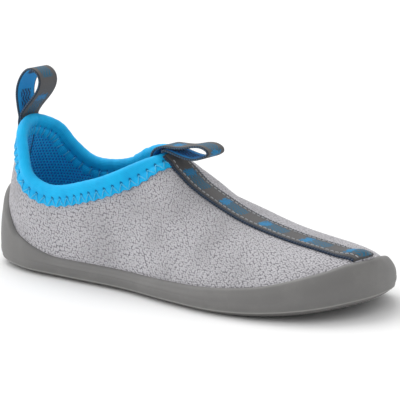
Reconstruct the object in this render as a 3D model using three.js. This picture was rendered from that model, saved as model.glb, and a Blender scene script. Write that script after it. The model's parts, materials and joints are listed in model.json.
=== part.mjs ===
// Slip-on water shoe, right foot: a rubber cup sole, a two-half neoprene upper with a pile face,
// a mesh lining, a bound collar, an instep strap and two webbing pull loops.
// Millimetres. +X runs to the toe, +Y to the inner (big toe) side, +Z up, ground at Z = 0.
import * as THREE from 'three';
import { mergeVertices } from 'three/addons/utils/BufferGeometryUtils.js';

// ---------------------------------------------------------------- driving dimensions
const CLEARANCE = 0.35; // gap kept between neighbouring pieces
const SEAM_GAP = 0.2; // half the gap between the two halves of the upper
const UPPER_THICKNESS = 2.4; // neoprene with its pile face
const LINING_THICKNESS = 1.0; // mesh
const BINDING_THICKNESS = 1.1; // elastic collar tape
const BINDING_WIDTH = 9.5; // how far the tape reaches down each face
const BINDING_REST = 0.6; // gap under the tape
const BINDING_ROWS = [1, 0.68, 0.34]; // rows of points on each face, as shares of the width
const BINDING_FOLD = [1, 0.62, 0.38, 0]; // points of the fold's inner face, as shares of a half turn
const BINDING_REACH = 3; // how far along the collar the pieces under the tape are felt for
const WEBBING_REACH = 0.6; // and across the webbing
const WEBBING_WIDTH = 15;
const WEBBING_THICKNESS = 1.2;
const WEBBING_REST = 0.5; // gap under webbing that lies on the upper
const RUBBER_WALL = 3.6; // side wall of the cup sole at its foot, clearance included
const RUBBER_LIP = 0.7; // thickness left at the top edge of the side wall
const RUBBER_BULGE = [0, 3.0, 2.8, 2.0, RUBBER_LIP]; // thickness of the side wall, foot to lip
const FLOOR_THICKNESS = 6; // rubber under the foot
const SOLE_EDGE_RADIUS = 7; // rounding from the side wall to the tread
const TOE_SPRING = 8; // height of the tread above the ground at the toe tip
const TOE_SPRING_START = 40; // where the tread starts to rise, along X
const HEEL_BEVEL = 2.5; // height of the tread above the ground at the back of the heel
const HEEL_BEVEL_START = -80;
const BOARD_THICKNESS = 1.2; // sewn-in insole board
const FOAM_THICKNESS = 3.2; // footbed foam
const FOAM_COVER_THICKNESS = 0.8;
const STATIONS = 30; // cross-sections in each half of the shoe
const BINDING_STATIONS = 48; // cross-sections round the collar

// Widest line of the rubber seen from above, from the back of the heel along the outer side to
// the toe tip and back along the inner side.
const OUTLINE = [
  [-125.5, 0], [-114, -21.5], [-91, -32.5], [-58, -35.5], [-18, -38], [16, -45], [47, -49],
  [77, -45.5], [101.5, -33], [114, -14], [118.3, 0],
  [113.8, 27], [97.5, 46], [70, 50.5], [41, 47.5], [6, 37], [-25, 30.5], [-61, 30.5], [-93, 31],
  [-116, 20.5],
];
const OUTLINE_TIP = 10; // index of the toe tip in OUTLINE

// Top edge of the upper round the foot opening, on its outer face, in the same order.
const RIM = [
  [-107.3, 0, 81], [-102.5, -16.5, 77.5], [-95.5, -24, 67.5], [-88, -28, 54.5], [-73, -29, 48.8],
  [-46, -28.5, 54.3], [-29.5, -25, 60.5], [-17.5, -13.5, 67.5], [-13.5, 0, 70.3],
  [-21, 12.5, 70.8], [-37.5, 21, 67], [-52, 26, 59.5], [-68, 28, 55], [-85, 27, 55.5],
  [-95.5, 23.5, 63.5], [-102, 16.5, 74.5],
];
const RIM_THROAT = 8; // index of the front of the opening in RIM

// Crest of the upper from the front of the opening to the toe: distance along X and height.
const RIDGE = [
  [-13.5, 70.3], [-5.4, 65], [6.4, 56], [19.5, 49.1], [39, 41.2], [64, 35.1], [85, 32], [97, 30.8],
  [108, 32.2], [113.5, 31.2],
];

// Height of the rubber side wall at fractions of the way from the heel to the toe tip.
const WALL_HEIGHT = [
  [0, 44], [0.08, 34], [0.16, 19], [0.28, 11.5], [0.42, 11.5], [0.6, 12.5], [0.75, 16], [0.88, 23.5],
  [1, 29],
];

// How far the skin stays level beside the crest and upright above the sole, as shares of the
// cross-section: the outer side is slim and the inner side, over the big toe, is full.
const SHOULDER_FULLNESS = { '-1': 0.42, 1: 0.66 };
const WALL_FULLNESS = { '-1': 0.5, 1: 0.62 };

// Webbing pull loops in the plane Y = 0: outer line and finger gap, as [x, z].
const HEEL_LOOP = {
  pivot: [-110.8, 82.4],
  outer: [
    [-112, 82.2], [-112.8, 88], [-113.2, 94], [-112.4, 99], [-110, 104], [-107.2, 107.6], [-104.2, 109.4],
    [-101, 108.6], [-98.4, 106], [-97.3, 102.6], [-98, 98.6], [-100, 94.6], [-102.8, 91],
    [-106, 87.4], [-109.6, 82.6],
  ],
  gap: [
    [-111.2, 88.5], [-111.9, 94], [-111.1, 98.7], [-108.8, 103.2], [-106.2, 106.6], [-104.2, 107.9],
    [-101.8, 107.3], [-99.5, 105.3], [-98.7, 102.6], [-99.4, 99], [-101.2, 95.3], [-104, 91.7],
    [-107.2, 88.2], [-109.6, 85.6],
  ],
};
const INSTEP_LOOP = {
  pivot: [-10, 74.1],
  outer: [
    [-10, 75.3], [-5, 75.4], [1, 75.8], [7, 77.2], [12.2, 77.7], [16, 76.6], [18.3, 74], [17, 71.4],
    [13.3, 69.7], [9, 69.2], [4, 69.8], [-2, 71.2], [-7, 72.6], [-9.4, 72.9],
  ],
  gap: [
    [-4.5, 74.1], [1.2, 74.6], [7.3, 76], [12, 76.5], [15.4, 75.6], [17, 73.9], [16, 72.1],
    [13, 70.9], [9, 70.4], [4.2, 71], [-1.5, 72.4],
  ],
};

const COLOURS = {
  rubber: 0x8a8a88, pile: 0xadabae, lining: 0x0a79bd, binding: 0x2aaadf, webbing: 0x585656,
  board: 0xb9b3a6, foam: 0x3c4a56, cover: 0x1b5f8c,
};

// Place of a cross-section, as a fraction of the way from the heel to the toe tip: they stand
// closer at the heel, at the front of the opening and at the toe.
const stationAt = (i) => i / STATIONS - 0.03 * Math.sin((4 * Math.PI * i) / STATIONS);

// ---------------------------------------------------------------- small tools
const UP = new THREE.Vector3(0, 0, 1);
const ACROSS = new THREE.Vector3(0, 1, 0);
const range = (count, make) => Array.from({ length: count }, (_, i) => make(i));
const mix = (a, b, t) => a + (b - a) * t;
const smooth = (a, b, x) => THREE.MathUtils.smoothstep(x, a, b);

/** Follow a path so that equal fractions are equal lengths. */
function byLength(path, steps = 240) {
  const points = range(steps + 1, (i) => path(i / steps));
  const along = [0];
  for (let i = 1; i <= steps; i += 1) along.push(along[i - 1] + points[i].distanceTo(points[i - 1]));
  return (fraction) => {
    const target = fraction * along[steps];
    let i = 1;
    while (i < steps && along[i] < target) i += 1;
    return points[i - 1].clone().lerp(points[i], (target - along[i - 1]) / (along[i] - along[i - 1]));
  };
}

/** Smooth value through [position, value] knots, without overshoot between them. */
function through(knots, x) {
  const last = knots.length - 1;
  const passed = knots.filter((knot) => knot[0] <= x).length;
  const i = Math.min(Math.max(passed, 1), last) - 1;
  const slope = (k) => (knots[k + 1][1] - knots[k][1]) / (knots[k + 1][0] - knots[k][0]);
  const bend = (k) => {
    if (k === 0 || k === last) return 0;
    const [before, after] = [slope(k - 1), slope(k)];
    return before * after <= 0 ? 0 : (2 * before * after) / (before + after);
  };
  const span = knots[i + 1][0] - knots[i][0];
  const t = THREE.MathUtils.clamp((x - knots[i][0]) / span, 0, 1);
  const [a, b] = [knots[i][1], knots[i + 1][1]];
  return a * (1 + 2 * t) * (1 - t) ** 2 + bend(i) * span * t * (1 - t) ** 2
    + b * t * t * (3 - 2 * t) + bend(i + 1) * span * t * t * (t - 1);
}

/** Closed curve through [x, y, z] points, split at one of them into two halves from point 0. */
function halves(points, split) {
  const knots = points.map(([x, y, z = 0]) => new THREE.Vector3(x, y, z));
  const curve = new THREE.CatmullRomCurve3(knots, true, 'centripetal');
  const at = split / points.length;
  return {
    '-1': byLength((t) => curve.getPoint(t * at)),
    1: byLength((t) => curve.getPoint(1 - t * (1 - at))),
  };
}

/** Solid from triangles of shared corners, with its faces turned outward. */
function solid(triangles) {
  const volume = triangles.reduce((sum, [a, b, c]) => sum + a.dot(b.clone().cross(c)), 0);
  const corners = triangles.flatMap(([a, b, c]) => (volume > 0 ? [a, b, c] : [a, c, b]));
  const geometry = new THREE.BufferGeometry().setFromPoints(corners);
  const welded = mergeVertices(geometry, 1e-4);
  welded.computeVertexNormals();
  return welded;
}

/** Two triangles for each cell between neighbouring rows of points, split along the shorter diagonal. */
function sheet(sections, closed = false) {
  const triangles = [];
  for (let i = 0; i < sections.length - (closed ? 0 : 1); i += 1) {
    const [near, far] = [sections[i], sections[(i + 1) % sections.length]];
    for (let j = 0; j < near.length - 1; j += 1) {
      const [a, b, c, d] = [near[j], far[j], far[j + 1], near[j + 1]];
      if (a.distanceTo(c) < b.distanceTo(d)) triangles.push([a, b, c], [a, c, d]);
      else triangles.push([a, b, d], [b, c, d]);
    }
  }
  return triangles;
}

/** Solid between two grids of points that run side by side, closed along all four borders. */
function plate(outer, inner) {
  const turned = inner.map((section) => [...section].reverse());
  const loops = outer.map((section, i) => [...section, ...turned[i], section[0]]);
  const end = (i) => sheet([outer[i], inner[i]]);
  const last = outer.length - 1;
  return solid([...sheet(loops), ...end(0).map(([a, b, c]) => [a, c, b]), ...end(last)]);
}

// ---------------------------------------------------------------- shape of the upper
const outline = halves(OUTLINE, OUTLINE_TIP);
const rim = halves(RIM, RIM_THROAT);
const ridgeKnots = RIDGE.map(([x, z]) => new THREE.Vector3(x, 0, z));
const ridgeCurve = new THREE.CatmullRomCurve3(ridgeKnots, false, 'centripetal');
const ridge = byLength((t) => ridgeCurve.getPoint(t));

/** Height of the tread above the ground. */
function treadHeight(x) {
  const toe = Math.max(0, x - TOE_SPRING_START) / (OUTLINE[OUTLINE_TIP][0] - TOE_SPRING_START);
  const heel = Math.max(0, HEEL_BEVEL_START - x) / (HEEL_BEVEL_START - OUTLINE[0][0]);
  return TOE_SPRING * toe ** 2 + HEEL_BEVEL * heel ** 2;
}

/** Run on round the heel or the toe tip onto the other side of the shoe. */
function wrap(side, f) {
  if (f < 0) return [-side, -f];
  return f > 1 ? [-side, 2 - f] : [side, f];
}

/** Point of the outline at a fraction of one side, or past its ends. */
function outlineAt(side, f) {
  const [there, fraction] = wrap(side, f);
  return outline[there](fraction);
}

/** Outward level direction of the outline at a fraction of one side. */
function outward(side, f) {
  const step = 0.012;
  return outlineAt(side, f + step).sub(outlineAt(side, f - step)).normalize().cross(UP).multiplyScalar(-side);
}

/** Control points of one cross-section of the outer skin, from the sole up to the top edge. */
function section(side, f) {
  const out = outward(side, f);
  const foot = outline[side](f).addScaledVector(out, -RUBBER_WALL);
  foot.z = treadHeight(foot.x) + FLOOR_THICKNESS + CLEARANCE;
  const onRidge = Math.max(0, f * 2 - 1);
  const top = f < 0.5 ? rim[side](f * 2) : ridge(onRidge);
  const slope = ridge(Math.min(onRidge + 0.01, 1)).sub(ridge(Math.max(onRidge - 0.01, 0))).normalize();
  const rise = top.z - foot.z;
  const vamp = smooth(0.36, 0.5, f);
  const toe = smooth(0.75, 1, f);
  const fullness = mix(SHOULDER_FULLNESS[side], 0.6, toe);
  const height = mix(WALL_FULLNESS[side], 0.8, toe);
  const shoulder = new THREE.Vector3(0, (foot.y - top.y) * fullness, 0)
    .addScaledVector(slope, ((foot.x - top.x) / slope.x) * fullness);
  const lean = mix(0.26, 0.06, smooth(0, 0.2, f)); // how far the collar leans in over the foot
  const wall = UP.clone().multiplyScalar(-0.34 * rise).addScaledVector(out, 0.34 * rise * lean);
  const upright = foot.clone().addScaledVector(UP, rise * mix(0.36, height, vamp)).addScaledVector(out, 0.6);
  return [foot, upright, top.clone().add(wall.lerp(shoulder, vamp)), top];
}

/** Point of a cross-section at v, 0 at the sole and 1 at the top edge. */
function onSection([a, b, c, d], v) {
  const w = 1 - v;
  return a.clone().multiplyScalar(w ** 3).addScaledVector(b, 3 * w * w * v)
    .addScaledVector(c, 3 * w * v * v).addScaledVector(d, v ** 3);
}

/** Where a rising test value along a cross-section first passes a level. */
function solve(curve, test, level) {
  let [low, high] = [0, 1];
  for (let i = 0; i < 24; i += 1) {
    const middle = (low + high) / 2;
    if (test(onSection(curve, middle)) < level) low = middle;
    else high = middle;
  }
  return low;
}

/** Level direction along the outline, the way the fraction grows. */
const sideways = (side, f) => UP.clone().cross(outward(side, f)).multiplyScalar(-side);

/** Outward normal of the skin; at the toe, where the sections meet, it is taken across the tip. */
function skinNormal(side, f, v) {
  const step = 0.004;
  const at = (fraction) => onSection(section(...wrap(side, fraction)), v);
  const along = at(Math.min(f + step, 1)).sub(at(f - step)).normalize();
  along.lerp(sideways(side, f), smooth(0.88, 1, f));
  const curve = section(side, f);
  const across = onSection(curve, Math.min(v + step, 1)).sub(onSection(curve, Math.max(v - step, 0)));
  const normal = along.cross(across).multiplyScalar(-side);
  if (f < step || f > 1 - step || (v > 0.999 && f >= 0.5)) normal.y = 0;
  return normal.normalize();
}

/** Rows of one cross-section: the side wall of the rubber, the open skin and the edge band. */
function rows(side, f) {
  const curve = section(side, f);
  const top = curve[3];
  const floor = curve[0].z;
  const wall = through(WALL_HEIGHT, f);
  const lip = Math.min(4, (wall - floor) * 0.45);
  const levels = [floor, mix(floor, wall - lip, 0.5), wall - lip, wall - lip * 0.3, wall];
  const wallRows = levels.map((level, i) => (i === 0 ? 0 : solve(curve, (p) => p.z, level)));
  const band = solve(curve, (p) => -p.distanceTo(top), -(f <= 0.5 ? BINDING_WIDTH : WEBBING_WIDTH / 2));
  const open = wallRows[4];
  const edge = Math.max(band, mix(open, 1, 0.7));
  const openRows = [0.3, 0.58, 0.82].map((t) => mix(open, edge, t));
  const last = mix(0.988, 1, smooth(0.42, 0.5, f)); // just under the fold of the tape
  return [...wallRows, ...openRows, edge, mix(edge, last, 0.5), last];
}

/** Grid of points at a depth under the outer skin, section by section from heel to toe. */
function skinGrid(side, depth) {
  return range(STATIONS + 1, (i) => {
    const f = stationAt(i);
    return rows(side, f).map((v, j, all) => {
      const point = onSection(section(side, f), v).addScaledVector(skinNormal(side, f, v), -depth);
      const onSeam = i === 0 || i === STATIONS || (j === all.length - 1 && f >= 0.5);
      if (onSeam) point.y = side * SEAM_GAP;
      return point;
    });
  });
}

const upper = (side) => plate(skinGrid(side, 0), skinGrid(side, UPPER_THICKNESS));
const LINING_DEPTH = UPPER_THICKNESS + CLEARANCE;
const lining = (side) => plate(
  skinGrid(side, LINING_DEPTH),
  skinGrid(side, LINING_DEPTH + LINING_THICKNESS),
);

// ---------------------------------------------------------------- sole and footbed
/** Stations once round the shoe: heel, outer side, toe, inner side. */
const ROUND = [
  ...range(STATIONS + 1, (i) => [-1, stationAt(i)]),
  ...range(STATIONS - 1, (i) => [1, stationAt(STATIONS - 1 - i)]),
];

/** Flat strips joining the outer and the inner side of a closed line of points. */
function across(points) {
  const count = points.length;
  const triangles = [];
  for (let i = 0; i < STATIONS; i += 1) {
    const [a, b] = [points[i], points[i + 1]];
    const [c, d] = [points[(count - i) % count], points[(count - i - 1) % count]];
    if (i > 0) triangles.push([a, b, c]);
    if (i < STATIONS - 1) triangles.push([b, d, c]);
  }
  return triangles;
}

/** Rubber cup sole: tread, rounded edge, side wall and the floor inside it. */
function cupSole() {
  const sections = ROUND.map(([side, f]) => {
    const curve = section(side, f);
    const out = outward(side, f);
    const widest = outline[side](f);
    const tread = treadHeight(widest.x);
    const wall = rows(side, f).slice(0, 5);
    const inner = wall.map((v) => onSection(curve, v).addScaledVector(skinNormal(side, f, v), CLEARANCE));
    const outer = inner.map((p, j) => (
      p.clone().addScaledVector(skinNormal(side, f, wall[j]), RUBBER_BULGE[j])
    ));
    outer[0] = widest.clone().setZ(tread + SOLE_EDGE_RADIUS);
    const floor = inner[0].clone().setZ(treadHeight(inner[0].x) + FLOOR_THICKNESS);
    const edge = range(3, (k) => {
      const angle = ((k + 1) / 3) * (Math.PI / 2);
      const point = widest.clone().addScaledVector(out, -SOLE_EDGE_RADIUS * (1 - Math.cos(angle)));
      return point.setZ(treadHeight(point.x) + SOLE_EDGE_RADIUS * (1 - Math.sin(angle)));
    });
    return [floor, ...inner.slice(1), ...outer.reverse(), ...edge];
  });
  const floor = sections.map((points) => points[0]);
  const tread = sections.map((points) => points[points.length - 1]);
  const inside = across(floor).map(([a, b, c]) => [a, c, b]);
  return solid([...sheet(sections, true), ...inside, ...across(tread)]);
}

/** Insole layer that fills the cup from side to side between two heights above the tread. */
function footLayer(low, high, inset) {
  const edge = ROUND.map(([side, f]) => {
    const curve = section(side, f);
    const v = solve(curve, (p) => p.z, treadHeight(curve[0].x) + high);
    const depth = LINING_DEPTH + LINING_THICKNESS + inset;
    const normal = skinNormal(side, f, v).setZ(0).normalize();
    return onSection(curve, v).addScaledVector(normal, -depth);
  });
  const ring = (height) => edge.map((p) => p.clone().setZ(treadHeight(p.x) + height));
  const [bottom, top] = [ring(low), ring(high)];
  const walls = sheet(bottom.map((p, i) => [p, top[i]]), true);
  return solid([...walls, ...across(top), ...across(bottom).map(([a, b, c]) => [a, c, b])]);
}

const BOARD_BASE = FLOOR_THICKNESS + CLEARANCE;
const FOAM_BASE = BOARD_BASE + BOARD_THICKNESS + CLEARANCE;
const COVER_BASE = FOAM_BASE + FOAM_THICKNESS + CLEARANCE;

// ---------------------------------------------------------------- collar binding
const ray = new THREE.Raycaster();

/** Height of the first piece met below a point, measured along its normal; deepest if none is. */
function heightOn(targets, point, normal, aside, reach) {
  const [lift, deepest] = [15, -2.5]; // where the ray starts, and the height if it meets nothing
  return Math.max(...[-reach, -reach / 3, reach / 3, reach].map((shift) => {
    const start = point.clone().addScaledVector(normal, lift).addScaledVector(aside, shift);
    ray.set(start, normal.clone().negate());
    const [hit] = ray.intersectObjects(targets);
    return hit ? lift - hit.distance : deepest;
  }));
}

/** Tape folded over the top edge of upper and lining, once round the opening. */
function collarBinding(uppers, linings) {
  const depth = LINING_DEPTH + LINING_THICKNESS;
  const half = BINDING_STATIONS / 2;
  const places = [
    ...range(half + 1, (i) => [-1, i / half]),
    ...range(half - 1, (i) => [1, 1 - (i + 1) / half]),
  ];
  const sections = places.map(([side, along]) => {
    const top = rim[side](along);
    const step = 0.02;
    const ahead = rim[side](Math.min(along + step, 1)).sub(rim[side](Math.max(along - step, 0)));
    if (along < step || along > 1 - step) ahead.set(0, -side * (along < step ? -1 : 1), 0);
    const normal = skinNormal(side, along / 2, 1);
    const aside = ahead.normalize();
    const down = aside.clone().cross(normal).multiplyScalar(-side).normalize();
    const core = top.clone().addScaledVector(normal, -depth / 2);
    const fold = (radius, angle) => core.clone().addScaledVector(normal, radius * Math.cos(angle))
      .addScaledVector(down, -radius * Math.sin(angle));
    const outside = (width, lift) => {
      const point = top.clone().addScaledVector(down, width);
      return point.addScaledVector(normal, heightOn(uppers, point, normal, aside, BINDING_REACH) + lift);
    };
    const inward = normal.clone().negate();
    const inside = (width, lift) => {
      const point = top.clone().addScaledVector(down, width).addScaledVector(inward, depth);
      return point.addScaledVector(inward, heightOn(linings, point, inward, aside, BINDING_REACH) + lift);
    };
    const [skin, face] = [BINDING_REST, BINDING_REST + BINDING_THICKNESS];
    const widths = BINDING_ROWS.map((share) => share * BINDING_WIDTH);
    const back = [...widths].reverse();
    const loop = [
      ...widths.map((width) => outside(width, face)),
      ...range(5, (k) => fold(depth / 2 + face, (k * Math.PI) / 4)),
      ...back.map((width) => inside(width, face)),
      ...widths.map((width) => inside(width, skin)),
      ...BINDING_FOLD.map((turn) => fold(depth / 2 + skin, turn * Math.PI)),
      ...back.map((width) => outside(width, skin)),
    ];
    return [...loop, loop[0]];
  });
  return solid(sheet(sections, true));
}

// ---------------------------------------------------------------- webbing
/** Webbing laid on finished pieces along a path in the plane Y = 0, given as [x, z]. */
function laidWebbing(targets, path, steps) {
  const knots = path.map(([x, z]) => new THREE.Vector3(x, 0, z));
  const route = new THREE.CatmullRomCurve3(knots, false, 'centripetal');
  const lines = 4;
  const places = range(steps + 1, (i) => {
    const at = route.getPointAt(i / steps);
    const normal = route.getTangentAt(i / steps).cross(ACROSS).normalize();
    const points = range(lines + 1, (k) => at.clone().setY(WEBBING_WIDTH * (k / lines - 0.5)));
    const heights = points.map((point) => heightOn(targets, point, normal, ACROSS, WEBBING_REACH));
    return { points, normal, heights };
  });
  const grid = (raise) => places.map(({ points, normal, heights }, i) => points.map((point, k) => {
    const [before, after] = [places[Math.max(i - 1, 0)], places[Math.min(i + 1, steps)]];
    const height = Math.max(before.heights[k], heights[k], after.heights[k]);
    return point.clone().addScaledVector(normal, height + raise);
  }));
  return plate(grid(WEBBING_REST + WEBBING_THICKNESS), grid(WEBBING_REST));
}

/** Folded pull loop: webbing on edge round a finger gap, turned about its pivot. */
function pullLoop({ pivot, outer, gap }) {
  const line = (points) => new THREE.CatmullRomCurve3(
    points.map(([x, z]) => new THREE.Vector3(x - pivot[0], z - pivot[1], 0)), true, 'centripetal',
  ).getPoints(36).slice(0, -1).map((p) => new THREE.Vector2(p.x, p.y));
  const shape = new THREE.Shape(line(outer).reverse());
  shape.holes.push(new THREE.Path(line(gap)));
  const extruded = new THREE.ExtrudeGeometry(shape, { depth: WEBBING_WIDTH, bevelEnabled: false, steps: 1 });
  extruded.translate(0, 0, -WEBBING_WIDTH / 2).rotateX(Math.PI / 2);
  extruded.deleteAttribute('normal');
  extruded.deleteAttribute('uv');
  const geometry = mergeVertices(extruded, 1e-4);
  geometry.computeVertexNormals();
  return geometry;
}

// ---------------------------------------------------------------- assembly
const shoe = new THREE.Group();

/** Put one named piece into the shoe. */
function add(name, geometry, colour, roughness, place = [0, 0, 0]) {
  const material = new THREE.MeshStandardMaterial({ color: colour, roughness, metalness: 0 });
  const mesh = new THREE.Mesh(geometry, material);
  mesh.name = name;
  mesh.position.set(...place);
  mesh.updateMatrixWorld(true);
  shoe.add(mesh);
  return mesh;
}

add('outsole', cupSole(), COLOURS.rubber, 0.55);
add('insole_board', footLayer(BOARD_BASE, BOARD_BASE + BOARD_THICKNESS, 0.4), COLOURS.board, 0.9);
add('footbed_foam', footLayer(FOAM_BASE, FOAM_BASE + FOAM_THICKNESS, 0.8), COLOURS.foam, 0.8);
add('footbed_cover', footLayer(COVER_BASE, COVER_BASE + FOAM_COVER_THICKNESS, 0.8), COLOURS.cover, 0.9);
const upperOuterSide = add('upper_outer_side', upper(-1), COLOURS.pile, 0.95);
const upperInnerSide = add('upper_inner_side', upper(1), COLOURS.pile, 0.95);
const liningOuterSide = add('lining_outer_side', lining(-1), COLOURS.lining, 0.85);
const liningInnerSide = add('lining_inner_side', lining(1), COLOURS.lining, 0.85);
const uppers = [upperOuterSide, upperInnerSide];
const linings = [liningOuterSide, liningInnerSide];
const binding = add('collar_binding', collarBinding(uppers, linings), COLOURS.binding, 0.7);

const skin = [...uppers, binding];
const strapPath = [[-11.8, 69.3], ...RIDGE.slice(1, -1), [111.5, 31.8]];
add('instep_strap', laidWebbing(skin, strapPath, 34), COLOURS.webbing, 0.85);
const heelPath = [[-110.8, 71], [-109.8, 75], [-108.5, 79]];
add('heel_tape', laidWebbing(skin, heelPath, 4), COLOURS.webbing, 0.85);
for (const [name, loop] of [['instep_loop', INSTEP_LOOP], ['heel_loop', HEEL_LOOP]]) {
  add(name, pullLoop(loop), COLOURS.webbing, 0.85, [loop.pivot[0], 0, loop.pivot[1]]);
}

// The origin sits under the middle of the shoe.
const box = new THREE.Box3().setFromObject(shoe);
shoe.position.set(-(box.min.x + box.max.x) / 2, -(box.min.y + box.max.y) / 2, -box.min.z);
shoe.updateMatrixWorld(true);

export default shoe;
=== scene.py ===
"""Looks of a slip-on water shoe for the right foot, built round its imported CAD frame.

The shoe is drawn in millimetres, with X towards the toe, Y towards the inner side and Z up, and
the middle plane of the strap at Y = 0. Drawing.place turns a drawn point into the frame's metres.
All lengths in this file are in millimetres unless a comment or a docstring says otherwise.
"""
from __future__ import annotations

import json
import logging
import math
from dataclasses import dataclass, field
from enum import Enum
from typing import Callable, Protocol, Sequence

import bmesh
import bpy
import numpy as np
from mathutils import Matrix, Vector
from mathutils.bvhtree import BVHTree

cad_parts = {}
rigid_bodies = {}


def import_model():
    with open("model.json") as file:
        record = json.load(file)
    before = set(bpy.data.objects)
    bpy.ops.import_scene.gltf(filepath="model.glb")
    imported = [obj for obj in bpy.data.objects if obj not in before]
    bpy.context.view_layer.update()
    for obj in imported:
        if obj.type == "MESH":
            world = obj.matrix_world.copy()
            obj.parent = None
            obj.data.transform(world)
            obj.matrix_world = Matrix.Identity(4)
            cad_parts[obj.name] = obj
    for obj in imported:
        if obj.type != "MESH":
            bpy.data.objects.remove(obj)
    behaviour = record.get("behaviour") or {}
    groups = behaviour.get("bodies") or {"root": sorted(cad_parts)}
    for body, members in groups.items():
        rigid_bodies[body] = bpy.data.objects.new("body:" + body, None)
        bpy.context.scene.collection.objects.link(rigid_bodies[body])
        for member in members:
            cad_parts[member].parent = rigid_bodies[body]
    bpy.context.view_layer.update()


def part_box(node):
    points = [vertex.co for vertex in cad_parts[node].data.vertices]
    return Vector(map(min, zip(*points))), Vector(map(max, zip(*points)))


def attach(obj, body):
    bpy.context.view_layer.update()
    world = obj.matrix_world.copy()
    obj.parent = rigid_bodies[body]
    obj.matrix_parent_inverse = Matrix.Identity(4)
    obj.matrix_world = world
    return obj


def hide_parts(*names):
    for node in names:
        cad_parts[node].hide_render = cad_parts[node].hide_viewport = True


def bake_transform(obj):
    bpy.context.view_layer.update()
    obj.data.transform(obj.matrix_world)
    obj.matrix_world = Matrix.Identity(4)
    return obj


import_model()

LOG = logging.getLogger("water_shoe")
OUTER, INNER = -1, 1  # the two sides of the shoe, as signs of Y
SHOE, INSTEP_LOOP, HEEL_LOOP = "shoe", "instep_loop", "heel_loop"
STITCH = 4.8  # from one stitch of the collar to the next
END_TAPER = 0.55  # how thick the ends of a thread are, against its middle
Array = np.ndarray
Triple = tuple[float, float, float]


# ---------------------------------------------------------------- small tools
def smooth(low: float, high: float, x: Array | float) -> Array:
    """Smooth step from 0 at low to 1 at high."""
    t = np.clip((np.asarray(x, float) - low) / (high - low), 0.0, 1.0)
    return t * t * (3 - 2 * t)


def mix(a: Array | float, b: Array | float, t: Array | float) -> Array | float:
    """Blend of a and b by t."""
    return a + (b - a) * t


def unit(vectors: Array) -> Array:
    """Vectors scaled to length 1 along their last axis."""
    return vectors / np.maximum(np.linalg.norm(vectors, axis=-1, keepdims=True), 1e-12)


def bell(x: Array | float, width: float) -> Array:
    """Bell curve of height 1 at 0."""
    return np.exp(-(np.asarray(x, float) / width) ** 2)


def spline(points: Sequence[Sequence[float]], closed: bool, per_span: int = 96) -> Array:
    """Dense centripetal Catmull-Rom line through points.

    Args:
        points: The knots, in two or three coordinates.
        closed: Whether the line runs back to its first knot.
        per_span: Steps between neighbouring knots.

    Returns:
        The points of the line in three coordinates, with the last knot or the first one again.
    """
    knots = np.asarray(points, float)
    if knots.shape[1] == 2:
        knots = np.column_stack([knots, np.zeros(len(knots))])
    if closed:
        padded = np.vstack([knots[-1], knots, knots[0], knots[1]])
    else:
        padded = np.vstack([2 * knots[0] - knots[1], knots, 2 * knots[-1] - knots[-2]])
    t = np.linspace(0, 1, per_span, endpoint=False)[:, None]
    rows = []
    for a, b, c, d in zip(padded, padded[1:], padded[2:], padded[3:]):
        before, here, after = (np.sqrt(np.linalg.norm(q - p)) for p, q in ((a, b), (b, c), (c, d)))
        leave = ((b - a) / before - (c - a) / (before + here) + (c - b) / here) * here
        arrive = ((c - b) / here - (d - b) / (here + after) + (d - c) / after) * here
        rows.append(b + leave * t + (3 * (c - b) - 2 * leave - arrive) * t**2
                    + (2 * (b - c) + leave + arrive) * t**3)
    rows.append(padded[-2][None])
    return np.vstack(rows)


class Line:
    """A line that is followed by its length."""

    def __init__(self, points: Array) -> None:
        """Measure the line.

        Args:
            points: The points it runs through, in order.
        """
        self.points = points
        steps = np.linalg.norm(np.diff(points, axis=0), axis=1)
        self.reached = np.concatenate([[0.0], np.cumsum(steps)])
        self.length = float(self.reached[-1])

    def __call__(self, fraction: Array | float) -> Array:
        """Points at fractions of the whole length."""
        at = np.asarray(fraction, float) * self.length
        return np.stack([np.interp(at, self.reached, self.points[:, k]) for k in range(3)], axis=-1)


def through(knots: Sequence[tuple[float, float]], x: Array) -> Array:
    """Smooth values through knots, without overshoot between them.

    Args:
        knots: Pairs of a position and its value, by rising position.
        x: Positions at which values are wanted.

    Returns:
        One value for each position.
    """
    at, value = (np.array([knot[k] for knot in knots]) for k in (0, 1))
    slope = np.diff(value) / np.diff(at)
    bend = np.zeros(len(knots))
    same = slope[:-1] * slope[1:] > 0
    bend[1:-1][same] = (2 * slope[:-1] * slope[1:])[same] / (slope[:-1] + slope[1:])[same]
    i = np.clip(np.searchsorted(at, x, side="right") - 1, 0, len(knots) - 2)
    span = at[i + 1] - at[i]
    t = np.clip((x - at[i]) / span, 0, 1)
    return (value[i] * (1 + 2 * t) * (1 - t) ** 2 + bend[i] * span * t * (1 - t) ** 2
            + value[i + 1] * t * t * (3 - 2 * t) + bend[i + 1] * span * t * t * (t - 1))


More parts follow.
